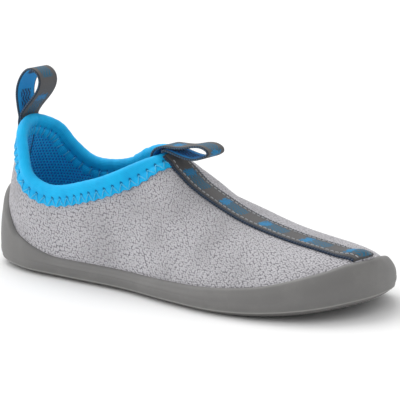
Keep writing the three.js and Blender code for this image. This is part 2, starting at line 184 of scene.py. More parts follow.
# ---------------------------------------------------------------- the drawn shape
@dataclass(frozen=True)
class Last:
    """The drawn shape of the shoe: its outline, its foot opening, its crest and its skin."""

    outline: tuple[tuple[float, float], ...] = (
        (-125.5, 0), (-114, -21.5), (-91, -32.5), (-58, -35.5), (-18, -38), (16, -45), (47, -49),
        (77, -45.5), (101.5, -33), (114, -14), (118.3, 0),
        (113.8, 27), (97.5, 46), (70, 50.5), (41, 47.5), (6, 37), (-25, 30.5), (-61, 30.5), (-93, 31),
        (-116, 20.5))
    tip: int = 10
    rim: tuple[Triple, ...] = (
        (-107.3, 0, 81), (-102.5, -16.5, 77.5), (-95.5, -24, 67.5), (-88, -28, 54.5), (-73, -29, 48.8),
        (-46, -28.5, 54.3), (-29.5, -25, 60.5), (-17.5, -13.5, 67.5), (-13.5, 0, 70.3),
        (-21, 12.5, 70.8), (-37.5, 21, 67), (-52, 26, 59.5), (-68, 28, 55), (-85, 27, 55.5),
        (-95.5, 23.5, 63.5), (-102, 16.5, 74.5))
    throat: int = 8
    ridge: tuple[Triple, ...] = (
        (-13.5, 0, 70.3), (-5.4, 0, 65), (6.4, 0, 56), (19.5, 0, 49.1), (39, 0, 41.2), (64, 0, 35.1),
        (85, 0, 32), (97, 0, 30.8), (108, 0, 32.2), (113.5, 0, 31.2))
    wall_height: tuple[tuple[float, float], ...] = (
        (0, 44), (0.08, 34), (0.16, 19), (0.28, 11.5), (0.42, 11.5), (0.6, 12.5), (0.75, 16),
        (0.88, 23.5), (1, 29))
    shoulder_fullness: Triple = (0.42, 0.66, 0.6)  # outer side, inner side, toe
    wall_fullness: Triple = (0.5, 0.62, 0.8)
    quarter_fullness: float = 0.36  # behind the vamp: how far up its lower control point lies
    quarter_reach: float = 0.34  # and how far below the edge its upper one lies
    quarter_lean: tuple[float, float] = (0.26, 0.06)  # how far that one leans out, heel and front
    foot_swell: float = 0.6
    rubber_wall: float = 3.6
    floor_thickness: float = 6.0
    floor_gap: float = 0.35
    toe_spring: float = 8.0
    toe_spring_start: float = 40.0
    heel_bevel: float = 2.5
    heel_bevel_start: float = -80.0
    lines: dict[str, dict[int, Line]] = field(default_factory=dict)

    def __post_init__(self) -> None:
        """Measure the outline, the edge of the opening and the crest."""
        per_span = 96
        loops = (("outline", self.outline, self.tip), ("rim", self.rim, self.throat))
        for name, points, split in loops:
            whole = spline(points, True, per_span)
            cut = split * per_span
            self.lines[name] = {OUTER: Line(whole[:cut + 1]), INNER: Line(whole[cut:][::-1])}
        self.lines["ridge"] = {OUTER: Line(spline(self.ridge, False))}

    def tread(self, x: Array) -> Array:
        """Height of the tread above the ground.

        Args:
            x: Places along the shoe.

        Returns:
            One height for each place.
        """
        toe_run = self.outline[self.tip][0] - self.toe_spring_start
        heel_run = self.heel_bevel_start - self.outline[0][0]
        toe = np.maximum(0, x - self.toe_spring_start) / toe_run
        heel = np.maximum(0, self.heel_bevel_start - x) / heel_run
        return self.toe_spring * toe**2 + self.heel_bevel * heel**2

    def outline_at(self, side: int, f: Array) -> Array:
        """Outline points of one side.

        Args:
            side: OUTER or INNER.
            f: Fractions of the way from the heel to the toe, which may run past the ends.

        Returns:
            The points; a fraction past an end gives a point of the other side.
        """
        folded = np.where(f < 0, -f, np.where(f > 1, 2 - f, f))
        own = ((f >= 0) & (f <= 1))[..., None]
        lines = self.lines["outline"]
        return np.where(own, lines[side](folded), lines[-side](folded))

    def outward(self, side: int, f: Array) -> Array:
        """Outward level direction of the outline.

        Args:
            side: OUTER or INNER.
            f: Fractions of the way from the heel to the toe.

        Returns:
            One direction for each fraction.
        """
        step = 0.012
        along = unit(self.outline_at(side, f + step) - self.outline_at(side, f - step))
        return np.stack([-side * along[..., 1], side * along[..., 0], np.zeros(f.shape)], axis=-1)

    def section(self, side: int, f: Array) -> tuple[Array, Array, Array, Array]:
        """Control points of the cross-sections of the skin.

        Args:
            side: OUTER or INNER.
            f: Fractions of the way from the heel to the toe.

        Returns:
            The point at the sole, two control points, and the point at the top edge.
        """
        out = self.outward(side, f)
        foot = self.lines["outline"][side](f) - out * self.rubber_wall
        foot[..., 2] = self.tread(foot[..., 0]) + self.floor_thickness + self.floor_gap
        ridge, on_ridge = self.lines["ridge"][OUTER], np.maximum(0, f * 2 - 1)
        before_throat = (f < 0.5)[..., None]
        top = np.where(before_throat, self.lines["rim"][side](np.minimum(f * 2, 1)), ridge(on_ridge))
        step = 0.01
        slope = unit(ridge(np.minimum(on_ridge + step, 1)) - ridge(np.maximum(on_ridge - step, 0)))
        rise = (top - foot)[..., 2:]
        vamp, toe = smooth(0.36, 0.5, f)[..., None], smooth(0.75, 1, f)[..., None]
        which = 0 if side == OUTER else 1
        full = mix(self.shoulder_fullness[which], self.shoulder_fullness[2], toe)
        height = mix(self.wall_fullness[which], self.wall_fullness[2], toe)
        up, level = np.array([0.0, 0.0, 1.0]), np.array([0.0, 1.0, 0.0])
        to_foot = foot - top
        shoulder = level * to_foot[..., 1:2] * full + slope * (to_foot[..., :1] / slope[..., :1]) * full
        lean = mix(*self.quarter_lean, smooth(0, 0.2, f))[..., None]
        wall = up * (-self.quarter_reach * rise) + out * (self.quarter_reach * rise * lean)
        upright = foot + up * rise * mix(self.quarter_fullness, height, vamp) + out * self.foot_swell
        return foot, upright, top + mix(wall, shoulder, vamp), top

    def point(self, side: int, f: Array, v: Array) -> Array:
        """Skin points.

        Args:
            side: OUTER or INNER.
            f: Fractions of the way from the heel to the toe, which may run past the ends.
            v: Fractions of the way up the skin.

        Returns:
            The points, with a last axis of three coordinates.
        """
        folded = np.where(f < 0, -f, np.where(f > 1, 2 - f, f))
        w, u = (1 - v)[..., None], v[..., None]

        def on(which: int) -> Array:
            """Points of one side."""
            a, b, c, d = self.section(which, folded)
            return a * w**3 + b * 3 * w * w * u + c * 3 * w * u * u + d * u**3

        own = np.broadcast_to((f >= 0) & (f <= 1), v.shape)[..., None]
        return np.where(own, on(side), on(-side))

    def normal(self, side: int, f: Array, v: Array) -> Array:
        """Outward normals of the skin.

        Args:
            side: OUTER or INNER.
            f: Fractions of the way from the heel to the toe.
            v: Fractions of the way up the skin.

        Returns:
            The normals, with a last axis of three coordinates.
        """
        step = 0.004
        along = unit(self.point(side, np.minimum(f + step, 1), v) - self.point(side, f - step, v))
        out = self.outward(side, f)
        tangent = np.stack([side * out[..., 1], -side * out[..., 0], out[..., 2]], axis=-1)
        along = mix(along, tangent, smooth(0.88, 1, f)[..., None])
        up = self.point(side, f, np.minimum(v + step, 1)) - self.point(side, f, np.maximum(v - step, 0))
        normal = -side * np.cross(along, up)
        flat = np.broadcast_to((f < step) | (f > 1 - step) | ((v > 0.999) & (f >= 0.5)), v.shape)
        normal[..., 1] = np.where(flat, 0, normal[..., 1])
        return unit(normal)

    def rise_to(self, side: int, f: Array, heights: Array) -> Array:
        """Where the skin reaches given heights.

        Args:
            side: OUTER or INNER.
            f: A column of fractions of the way from the heel to the toe.
            heights: A row of heights for each of them.

        Returns:
            Fractions of the way up the skin, laid out as the heights.
        """
        v = np.linspace(0, 1, 200)
        skin = self.point(side, f, np.broadcast_to(v, (len(f), len(v))))
        z = np.maximum.accumulate(skin[..., 2], axis=1)
        return np.stack([np.interp(want, have, v) for want, have in zip(heights, z)])

    def wall(self, f: Array) -> Array:
        """Heights of the top edge of the rubber wall."""
        return through(self.wall_height, f)


LAST = Last()


def ring(count: int, make: Callable[[int, Array], Array]) -> Array:
    """Stations once round the shoe: from the heel along the outer side, and back along the inner.

    Args:
        count: Stations on each side.
        make: Gives the rows of one side for a column of fractions.

    Returns:
        The rows of all stations.
    """
    f = np.linspace(0, 1, count + 1)[:, None]
    return np.concatenate([make(OUTER, f), make(INNER, f[-2:0:-1])])


def between(line: Array, columns: int) -> Array:
    """Grid across the shoe between the two halves of a closed line.

    Args:
        line: Points once round the shoe, as ring gives them.
        columns: Columns of the grid.

    Returns:
        The grid, from the heel to the toe and from the outer side to the inner.
    """
    half = len(line) // 2
    outer, inner = line[:half + 1], np.concatenate([line[half:], line[:1]])[::-1]
    w = np.linspace(0, 1, columns)[:, None]
    return outer[:, None] * (1 - w) + inner[:, None] * w


class Drawing:
    """Where the drawing lies in the frame."""

    def __init__(self) -> None:
        """Find the drawing's origin from the sole and the strap of the frame."""
        sole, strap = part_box("outsole"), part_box("instep_strap")
        heel, middle = LAST.outline[0][0] / 1000, (strap[0].y + strap[1].y) / 2
        self.shift = np.array([sole[0].x - heel, middle, 0.0])

    def place(self, points: Array) -> Array:
        """Frame points, in metres, of drawn points."""
        return np.asarray(points, float) / 1000 + self.shift


DRAWING = Drawing()


# ---------------------------------------------------------------- meshes
@dataclass
class Patch:
    """Faces over a grid of points, with a place in the flat cloth for each corner."""

    points: Array  # rows, columns, 3
    flat: Array | None = None  # rows (one more if closed), columns (one more if looped), 2
    closed: bool = False  # the last row joins the first
    looped: bool = False  # the last column joins the first
    flip: bool = False
    material: int = 0
    keep: Array | None = None  # which rows of cells are made

    def faces(self) -> tuple[Array, Array]:
        """Corner indices and flat places of the cells.

        Returns:
            An array of four point indices a cell, and one of four flat places a cell.
        """
        rows, columns = self.points.shape[:2]
        i = np.arange(rows if self.closed else rows - 1)
        j = np.arange(columns if self.looped else columns - 1)
        if self.keep is not None:
            i = i[self.keep[i]]
        a, b = np.meshgrid(i, j, indexing="ij")
        corners = [(a, b), (a + 1, b), (a + 1, b + 1), (a, b + 1)]
        if self.flip:
            corners.reverse()
        index = np.stack([(p % rows) * columns + q % columns for p, q in corners], axis=-1)
        flat = self.flat
        if flat is None:
            counted = np.arange(rows + 1.0), np.arange(columns + 1.0)
            flat = np.stack(np.meshgrid(*counted, indexing="ij"), axis=-1)
        places = np.stack([flat[p, q] for p, q in corners], axis=-2)
        return index.reshape(-1, 4), places.reshape(-1, 4, 2)


def build(name: str, patches: Sequence[Patch], sharp: float = 50.0,
          weld: float = 0.004) -> bpy.types.Object:
    """Mesh object from patches, welded where they meet.

    Args:
        name: Name of the piece.
        patches: The patches, in millimetres.
        sharp: Angle in degrees above which an edge is sharp.
        weld: Distance in millimetres within which corners become one.

    Returns:
        The object, in the frame.
    """
    points = np.concatenate([patch.points.reshape(-1, 3) for patch in patches])
    faces, flats, slots, start = [], [], [], 0
    for patch in patches:
        index, flat = patch.faces()
        faces.append(index + start)
        flats.append(flat)
        slots.append(np.full(len(index), patch.material))
        start += patch.points.shape[0] * patch.points.shape[1]
    mesh = bpy.data.meshes.new(name)
    mesh.from_pydata(DRAWING.place(points).tolist(), [], np.concatenate(faces).tolist())
    mesh.uv_layers.new(name="Flat").data.foreach_set("uv", np.concatenate(flats).ravel())
    mesh.polygons.foreach_set("material_index", np.concatenate(slots).astype(np.int32))
    work = bmesh.new()
    work.from_mesh(mesh)
    bmesh.ops.remove_doubles(work, verts=work.verts, dist=weld / 1000)
    bmesh.ops.dissolve_degenerate(work, edges=work.edges, dist=weld / 4000)
    bmesh.ops.recalc_face_normals(work, faces=work.faces)
    work.to_mesh(mesh)
    work.free()
    mesh.polygons.foreach_set("use_smooth", [True] * len(mesh.polygons))
    mesh.set_sharp_from_angle(angle=math.radians(sharp))
    piece = bpy.data.objects.new(name, mesh)
    bpy.context.scene.collection.objects.link(piece)
    return piece


def strands(name: str, lines: Sequence[Array], radius: float | Array,
            sides: int = 6) -> bpy.types.Object:
    """One mesh of round threads with closed ends.

    Args:
        name: Name of the piece.
        lines: The middle line of each thread, in millimetres.
        radius: Radius of a thread, or one for each point of a line.
        sides: Corners of its section.

    Returns:
        The object.
    """
    turn = np.linspace(0, 2 * np.pi, sides, endpoint=False)
    patches = []
    for line in lines:
        along = unit(np.gradient(line, axis=0))
        helper = np.array([0.0, 0.0, 1.0]) if abs(along[0][2]) < 0.8 else np.array([0.0, 1.0, 0.0])
        side = unit(np.cross(along, helper))
        other = np.cross(along, side)
        size = np.ones(len(line)) * radius
        size[[0, -1]] *= END_TAPER
        rings = line[:, None] + size[:, None, None] * (
            side[:, None] * np.cos(turn)[:, None] + other[:, None] * np.sin(turn)[:, None])
        ends = [np.repeat(line[k][None, None], sides, axis=1) for k in (0, -1)]
        patches.append(Patch(np.concatenate([ends[0], rings, ends[1]]), looped=True))
    return build(name, patches, sharp=80, weld=0.0005)


def tree_of(points: Array, closed: bool) -> BVHTree:
    """Search tree of the surface over a grid of drawn points."""
    index, _ = Patch(points, closed=closed).faces()
    return BVHTree.FromPolygons(points.reshape(-1, 3).tolist(), index.tolist())


def height_on(trees: Sequence[BVHTree], points: Array, up: Array, reach: float = 14.0) -> Array:
    """Heights of the highest of some surfaces over points, measured along directions.

    Args:
        trees: The surfaces.
        points: Where to measure.
        up: Which way is up at each point.
        reach: How far above and below to look.

    Returns:
        One height a point; where no surface is met, the height next to it is taken.
    """
    heights = np.full(len(points), np.nan)
    for k, (point, direction) in enumerate(zip(points, up)):
        for tree in trees:
            start = Vector(point + direction * reach)
            distance = tree.ray_cast(start, Vector(-direction), 1.6 * reach)[3]
            if distance is not None:
                heights[k] = np.fmax(heights[k], reach - distance)
    met = np.flatnonzero(~np.isnan(heights))
    if len(met) == 0:
        return np.zeros(len(points))
    return np.interp(np.arange(len(points)), met, heights[met])


def soften(values: Array, width: float, closed: bool) -> Array:
    """Rows of values, smoothed along the first axis by a bell curve.

    Args:
        values: The rows.
        width: Width of the bell, in rows.
        closed: Whether the last row is followed by the first.

    Returns:
        As many rows as were given.
    """
    reach = int(3 * width) + 1
    weights = np.exp(-0.5 * (np.arange(-reach, reach + 1) / width) ** 2)
    pad = [(reach, reach)] + [(0, 0)] * (values.ndim - 1)
    padded = np.pad(values, pad, mode="wrap" if closed else "edge")
    total = sum(w * padded[k:k + len(values)] for k, w in enumerate(weights))
    return total / weights.sum()


# ---------------------------------------------------------------- shader writing
def colour(red: float, green: float, blue: float) -> tuple[float, float, float, float]:
    """Scene colour of a display colour.

    Args:
        red: Red, up to 255.
        green: Green, up to 255.
        blue: Blue, up to 255.

    Returns:
        Its linear parts, up to 1, and full opacity.
    """
    parts = np.array([red, green, blue]) / 255
    linear = np.where(parts <= 0.04045, parts / 12.92, ((parts + 0.055) / 1.055) ** 2.4)
    return (*(float(part) for part in linear), 1.0)


class Value:
    """A socket of a node tree that takes part in sums."""

    def __init__(self, shader: Shader, socket: bpy.types.NodeSocket) -> None:
        """Wrap a socket.

        Args:
            shader: The shader whose tree holds the socket.
            socket: The output that is wrapped.
        """
        self.shader = shader
        self.socket = socket

    def math(self, operation: str, *others: Value | float) -> Value:
        """This value put through a Math node, with further values after it."""
        return self.shader.node("ShaderNodeMath", {"operation": operation},
                                {0: self, **dict(enumerate(others, 1))})

    def __add__(self, other: Value | float) -> Value:
        """Sum."""
        return self.math("ADD", other)

    __radd__ = __add__

    def __mul__(self, other: Value | float) -> Value:
        """Product."""
        return self.math("MULTIPLY", other)

    __rmul__ = __mul__

    def __sub__(self, other: Value | float) -> Value:
        """Difference."""
        return self.math("SUBTRACT", other)

    def __rsub__(self, other: float) -> Value:
        """Number less this value."""
        return self.shader.node("ShaderNodeMath", {"operation": "SUBTRACT"}, {0: other, 1: self})

    def __truediv__(self, other: Value | float) -> Value:
        """Quotient."""
        return self.math("DIVIDE", other)

    def __rtruediv__(self, other: float) -> Value:
        """Number divided by this value."""
        return self.shader.node("ShaderNodeMath", {"operation": "DIVIDE"}, {0: other, 1: self})

    def step(self, low: float, high: float, start: float = 0.0, end: float = 1.0) -> Value:
        """Smooth step.

        Args:
            low: Value at which it starts.
            high: Value at which it ends.
            start: Result up to low.
            end: Result from high on.

        Returns:
            The stepped value.
        """
        limits = {"From Min": low, "From Max": high, "To Min": start, "To Max": end}
        return self.shader.node("ShaderNodeMapRange", {"interpolation_type": "SMOOTHSTEP", "clamp": True},
                                {"Value": self, **limits})

    def band(self, middle: float, half: float, soft: float) -> Value:
        """1 within half of the middle, falling to 0 over soft on each side."""
        return (self - middle).math("ABSOLUTE").step(half, half + soft, 1.0, 0.0)

    def wave(self, pitch: float) -> Value:
        """Sine of this value, of the given pitch, between 0 and 1."""
        return ((self * (2 * math.pi / pitch)).math("SINE") + 1.0) * 0.5

    def cell(self, pitch: float, shift: float = 0.0) -> Value:
        """Distance from the middle of the cell of a row that this value lies in."""
        return ((self / pitch + shift).math("FRACT") - 0.5) * pitch


class Shader:
    """One material's node tree."""

    def __init__(self, name: str, fixed: dict[str, float | tuple]) -> None:
        """Start a material with one Principled shader.

        Args:
            name: The material's name.
            fixed: What stays the same all over the surface, by the shader's socket names.
        """
        self.material = bpy.data.materials.new(name)
        self.material.use_nodes = True
        self.tree = self.material.node_tree
        self.tree.nodes.clear()
        self.surface = self.tree.nodes.new("ShaderNodeBsdfPrincipled")
        output = self.tree.nodes.new("ShaderNodeOutputMaterial")
        self.tree.links.new(self.surface.outputs["BSDF"], output.inputs["Surface"])
        for socket, value in fixed.items():
            self.surface.inputs[socket].default_value = value

    def node(self, kind: str, settings: dict, inputs: dict, output: int | str = 0) -> Value:
        """Add one node.

        Args:
            kind: The node's type.
            settings: Its settings, which are set first.
            inputs: Values or links of its sockets, by name or place.
            output: Name or place of the output that is returned.

        Returns:
            That output.
        """
        made = self.tree.nodes.new(kind)
        for name, value in settings.items():
            setattr(made, name, value)
        for name, value in inputs.items():
            if isinstance(value, Value):
                self.tree.links.new(value.socket, made.inputs[name])
            else:
                made.inputs[name].default_value = value
        return Value(self, made.outputs[output])

    def flat(self) -> tuple[Value, Value]:
        """Place in the flat cloth.

        Returns:
            Two values in millimetres, along and across.
        """
        place = self.node("ShaderNodeUVMap", {"uv_map": "Flat"}, {})
        return self.part(place, "X"), self.part(place, "Y")

    def part(self, vector: Value, axis: str) -> Value:
        """One coordinate of a vector."""
        return self.node("ShaderNodeSeparateXYZ", {}, {0: vector}, axis)

    def solid(self) -> Value:
        """Place in the object, in millimetres."""
        place = self.node("ShaderNodeTexCoord", {}, {}, "Object")
        return self.node("ShaderNodeVectorMath", {"operation": "SCALE"}, {0: place, "Scale": 1000.0})

    def vector(self, x: Value | float, y: Value | float, z: Value | float = 0.0) -> Value:
        """Vector of three values."""
        return self.node("ShaderNodeCombineXYZ", {}, {0: x, 1: y, 2: z})

    def noise(self, place: Value, size: float, detail: float = 2.0, rough: float = 0.5) -> Value:
        """Soft noise with lumps of about the given size."""
        return self.node("ShaderNodeTexNoise", {"noise_dimensions": "3D"},
                         {"Vector": place, "Scale": 1 / size, "Detail": detail, "Roughness": rough})

    def grains(self, place: Value, size: float, dimensions: str = "3D", scatter: float = 1.0) -> Value:
        """Distance to the nearest of scattered grains of about the given size."""
        return self.node("ShaderNodeTexVoronoi", {"voronoi_dimensions": dimensions},
                         {"Vector": place, "Scale": 1 / size, "Randomness": scatter}, "Distance")

    def tint(self, a: Value | tuple, b: Value | tuple, t: Value | float) -> Value:
        """Blend of two colours."""
        return self.node("ShaderNodeMix", {"data_type": "RGBA", "blend_type": "MIX", "clamp_factor": True},
                         {0: t, 6: a, 7: b}, 2)

    def finish(self, base: Value | tuple, rough: Value | float, height: Value | None,
               depth: float) -> bpy.types.Material:
        """Link what changes over the surface.

        Args:
            base: Base colour.
            rough: Roughness.
            height: Height of the relief, from 0 to 1.
            depth: Depth of the relief in millimetres.

        Returns:
            The material.
        """
        for socket, value in (("Base Color", base), ("Roughness", rough)):
            if isinstance(value, Value):
                self.tree.links.new(value.socket, self.surface.inputs[socket])
            else:
                self.surface.inputs[socket].default_value = value
        if height is not None:
            relief = {"Height": height, "Distance": depth / 1000, "Strength": 1.0}
            bump = self.node("ShaderNodeBump", {}, relief, "Normal")
            self.tree.links.new(bump.socket, self.surface.inputs["Normal"])
        return self.material


# ---------------------------------------------------------------- finishes
class Finish(Protocol):
    """What every finish can do."""

    def material(self) -> bpy.types.Material:
        """Make its material."""


@dataclass(frozen=True)
class Pile:
    """Nubby light grey pile on neoprene."""

    crown: Triple = (202, 200, 205)
    # Painted shade: colour of the gaps between the loops.
    gap: Triple = (112, 110, 116)
    cloud: Triple = (150, 148, 152)
    grain: float = 1.16  # from one loop of the pile to the next
    slant: float = 0.35  # how far each row of loops is shifted against the last

    def material(self) -> bpy.types.Material:
        """Short loops with painted shade in the gaps between them.

        Returns:
            The material.
        """
        shader = Shader("nubby_pile", {"Sheen Weight": 0.25, "Sheen Roughness": 0.6,
                                       "Specular IOR Level": 0.2})
        along, across = shader.flat()
        cloth = shader.vector(along + across * self.slant, across)
        nubs = shader.grains(cloth, self.grain, "2D", 0.7)
        fine = shader.noise(cloth, 0.45, 2.0, 0.6)
        height = (1.0 - nubs.step(0.1, 0.72)) * 0.8 + fine * 0.3
        cloud = shader.noise(shader.solid(), 22.0, 2.0)
        # Painted shade: the gaps between the loops are tinted dark.
        between = (nubs + fine * 0.3).step(0.52, 0.84) * 0.9
        base = shader.tint(colour(*self.crown), colour(*self.gap), between)
        shade = shader.tint(base, shader.tint(base, colour(*self.cloud), 0.35), cloud.step(0.4, 0.75))
        return shader.finish(shade, 0.93, height, 0.5)


@dataclass(frozen=True)
class MouldedRubber:
    """Satin grey rubber."""

    body: Triple = (114, 113, 112)
    worn: Triple = (127, 126, 124)
    scuffed: Triple = (112, 111, 108)
    # Painted highlight along the moulded ridge.
    line: Triple = (158, 157, 154)
    line_column: float = 0.0  # place of the moulded line across the side wall's section
    scuff_height: float = 3.5  # how far above the ground it is scuffed

    def material(self) -> bpy.types.Material:
        """Even rubber with a faint mould grain, paler where it is scuffed, with a painted highlight along
        its moulded line.

        Returns:
            The material.
        """
        shader = Shader("moulded_rubber", {"Specular IOR Level": 0.35})
        place = shader.solid()
        grain = shader.noise(place, 0.35, 3.0, 0.6)
        broad = shader.noise(place, 14.0, 4.0, 0.6)
        wear = broad.step(0.45, 0.7) * 0.45 + grain * 0.12
        base = shader.tint(colour(*self.body), colour(*self.worn), wear)
        low = shader.part(place, "Z").step(0.2, self.scuff_height, 1.0, 0.0)
        scuff = low * shader.noise(place, 3.0, 4.0, 0.7).step(0.42, 0.68)
        tone = shader.tint(base, colour(*self.scuffed), scuff * 0.5)
        # Painted highlight: a pale band along the moulded ridge of the side wall.
        line = shader.flat()[1].band(self.line_column, 0.7, 0.8)
        ridge_highlighted = shader.tint(tone, colour(*self.line), line * 0.7)
        rough = broad * 0.16 + grain * 0.08 + 0.4
        return shader.finish(ridge_highlighted, rough, grain * 0.6 + broad * 0.4, 0.09)


@dataclass(frozen=True)
class HoleMesh:
    """Blue spacer mesh with rows of holes."""

    yarn: Triple = (12, 196, 255)
    # Painted shade inside the holes.
    hole: Triple = (2, 120, 212)
    seam: Triple = (4, 58, 104)
    pitch: float = 2.0  # from one hole to the next in a row

    def material(self) -> bpy.types.Material:
        """Holes on a honeycomb of two interleaved grids, between knitted ribs, with painted shade in the
        holes and between the knit loops.

        Returns:
            The material.
        """
        shader = Shader("hole_mesh", {"Sheen Weight": 0.15, "Specular IOR Level": 0.3})
        along, across = shader.flat()
        row = self.pitch * math.sqrt(3)

        def nearest(shift: float) -> Value:
            """Distance to the nearest hole of the grid with the given shift."""
            x, y = along.cell(self.pitch, shift), across.cell(row, shift)
            return (x * x + y * y).math("SQRT")

        distance = nearest(0.0).math("MINIMUM", nearest(0.5))
        yarn = distance.step(self.pitch * 0.2, self.pitch * 0.38)
        loops = along.wave(0.5) * across.wave(0.5)
        # Painted shade: the holes are tinted dark, and the yarn darker between its knit loops.
        base = shader.tint(colour(*self.hole), colour(*self.yarn), yarn * (loops * 0.3 + 0.7))
        seam = along.math("ABSOLUTE").step(0.35, 1.0, 1.0, 0.0)
        shade = shader.tint(base, colour(*self.seam), seam * 0.75)
        return shader.finish(shade, 0.8, yarn * 0.8 + loops * 0.2, 0.5)


@dataclass(frozen=True)
class ElasticTape:
    """Bright blue knitted elastic of the collar."""

    pitch: float  # from one stitch to the next
    hole_width: float  # how far from the fold the needle holes lie
    face: Triple = (14, 192, 250)
    # Darker tone for random mottling and for painted shade in the furrows between the ribs.
    mottle_and_furrow_shade: Triple = (6, 160, 224)
    # Painted shade inside the needle holes.
    needle_hole_shade: Triple = (4, 78, 128)
    rib: float = 0.62

    def material(self) -> bpy.types.Material:
        """Fine ribs round the opening, with painted shade in their furrows and in the needle holes above
        the stitches.

        Returns:
            The material.
        """
        shader = Shader("elastic_tape", {"Sheen Weight": 0.06, "Sheen Roughness": 0.4,
                                         "Specular IOR Level": 0.25})
        along, across = shader.flat()
        ribs = across.wave(self.rib)
        knit = along.wave(0.5) * 0.35 + ribs * 0.65
        cloud = shader.noise(shader.vector(along, across), 9.0, 3.0)
        x, y = along.cell(self.pitch, 0.5), across.math("ABSOLUTE") - self.hole_width
        hole = (x * x + y * y * 0.6).math("SQRT").step(0.4, 0.95, 1.0, 0.0)
        # Painted shade in the furrows between the ribs, over random mottling.
        mottle_and_furrow_shade_mask = cloud.step(0.35, 0.75) * 0.45 + (1.0 - knit) * 0.25
        base = shader.tint(colour(*self.face), colour(*self.mottle_and_furrow_shade), mottle_and_furrow_shade_mask)
        # Painted shade: the needle holes are tinted dark.
        tone = shader.tint(base, colour(*self.needle_hole_shade), hole * 0.85)
        return shader.finish(tone, 0.62, knit * (1.0 - hole), 0.14)


class WebbingFace(Enum):
    """The two faces of the woven tape."""

    FRONT = "front"
    BACK = "back"


# Ground, figures and bright patches of each face.
TAPE_TONES = {WebbingFace.FRONT: ((96, 94, 93), (0, 106, 142), (0, 140, 200)),
              WebbingFace.BACK: ((24, 172, 238), (30, 74, 104), (24, 62, 92))}


@dataclass(frozen=True)
class WovenTape:
    """Woven tape with plain figures woven in."""

    face: WebbingFace
    ground: Triple
    figure: Triple
    bright: Triple
    # Navy colour of the edges, also used for painted shade between the ridges of the weave.
    edge: Triple = (42, 50, 62)
    width: float = 15.0
    repeat: float = 27.0
    run: float = 15.5  # length of a figured stretch in each repeat

    def material(self) -> bpy.types.Material:
        """Diagonal weave with stretches of small wave figures, and plain edges, with painted shade between
        the ridges of the weave.

        Returns:
            The material.
        """
        shader = Shader(f"woven_tape_{self.face.value}", {"Sheen Weight": 0.1, "Specular IOR Level": 0.3})
        along, across = shader.flat()
        from_middle = across.math("ABSOLUTE")
        twill = (along + across).wave(0.7)
        pick = across.wave(0.55) * along.wave(0.8)
        weave = twill * 0.6 + pick * 0.4
        along_repeat = along.cell(self.repeat)
        inside = from_middle.step(self.width * 0.26, self.width * 0.3, 1.0, 0.0)
        stretch = along_repeat.band(0.0, self.run / 2, 0.5) * inside
        ripple = (across + along.wave(5.2) * 1.5).cell(2.3).math("ABSOLUTE").step(0.42, 0.66, 1.0, 0.0)
        speck = shader.noise(shader.vector(along, across), 0.8, 2.0).step(0.4, 0.56)
        mark = stretch * (ripple * 0.75 + speck * 0.45)
        start = along_repeat + self.run * 0.36
        ragged = (shader.noise(shader.vector(along, across), 1.5, 2.0) - 0.5) * 7.0
        dot = ((start * start + across * across * 0.35).math("SQRT") + ragged).step(2.1, 2.8, 1.0, 0.0)
        base = shader.tint(colour(*self.ground), colour(*self.figure), mark)
        bright = shader.tint(base, colour(*self.bright), dot * (speck * 0.4 + 0.6))
        selvedge = from_middle.step(self.width * 0.44, self.width * 0.47)
        # The edges are navy; the (1 - weave) term is painted shade between the ridges of the weave.
        tone = shader.tint(bright, colour(*self.edge), selvedge * 0.7 + (1.0 - weave) * 0.3)
        return shader.finish(tone, 0.8, weave * 0.7 + mark * 0.3, 0.16)


@dataclass(frozen=True)
class SewingThread:
    """Twisted thread of one colour."""

    name: str
    tone: Triple
    # Painted shade in the grooves of the twist, and the darker fray flecks.
    dark: Triple

    def material(self) -> bpy.types.Material:
        """Twist of the thread as a fine slant, with painted shade in its grooves.

        Returns:
            The material.
        """
        shader = Shader(self.name, {"Sheen Weight": 0.1, "Specular IOR Level": 0.45})
        place = shader.solid()
        x, y, z = (shader.part(place, axis) for axis in "XYZ")
        twist = (x + y + z).wave(0.45)
        fray = shader.noise(place, 0.4, 2.0)
        # Painted shade: darker in the grooves of the twist, with random flecks from the fray noise.
        base = shader.tint(colour(*self.dark), colour(*self.tone), twist * 0.6 + fray * 0.5)
        return shader.finish(base, 0.55, twist, 0.08)


@dataclass(frozen=True)
class FootbedCloth:
    """Knitted cover of the footbed, with a fine dotted texture."""

    tone: Triple = (24, 98, 150)
    # Painted shade between the raised dots and knit ridges, and the darker wear patches.
    dark: Triple = (12, 60, 102)

    def material(self) -> bpy.types.Material:
        """Small raised dots on a knit, with painted shade in the low parts between them.

        Returns:
            The material.
        """
        shader = Shader("footbed_cloth", {"Sheen Weight": 0.2, "Specular IOR Level": 0.2})
        place = shader.solid()
        x, y = shader.part(place, "X"), shader.part(place, "Y")
        u, v = (x + y).cell(2.4), (x - y).cell(2.4)
        dots = (u * u + v * v).math("SQRT").step(0.5, 0.95, 1.0, 0.0)
        knit = x.wave(0.7) * y.wave(0.7)
        wear = shader.noise(place, 16.0, 3.0)
        # Painted shade: darker between the raised dots and knit ridges; the wear noise adds random tone.
        light = dots * 0.6 + knit * 0.3 + wear * 0.25
        base = shader.tint(colour(*self.dark), colour(*self.tone), light)
        return shader.finish(base, 0.88, dots * 0.7 + knit * 0.3, 0.25)


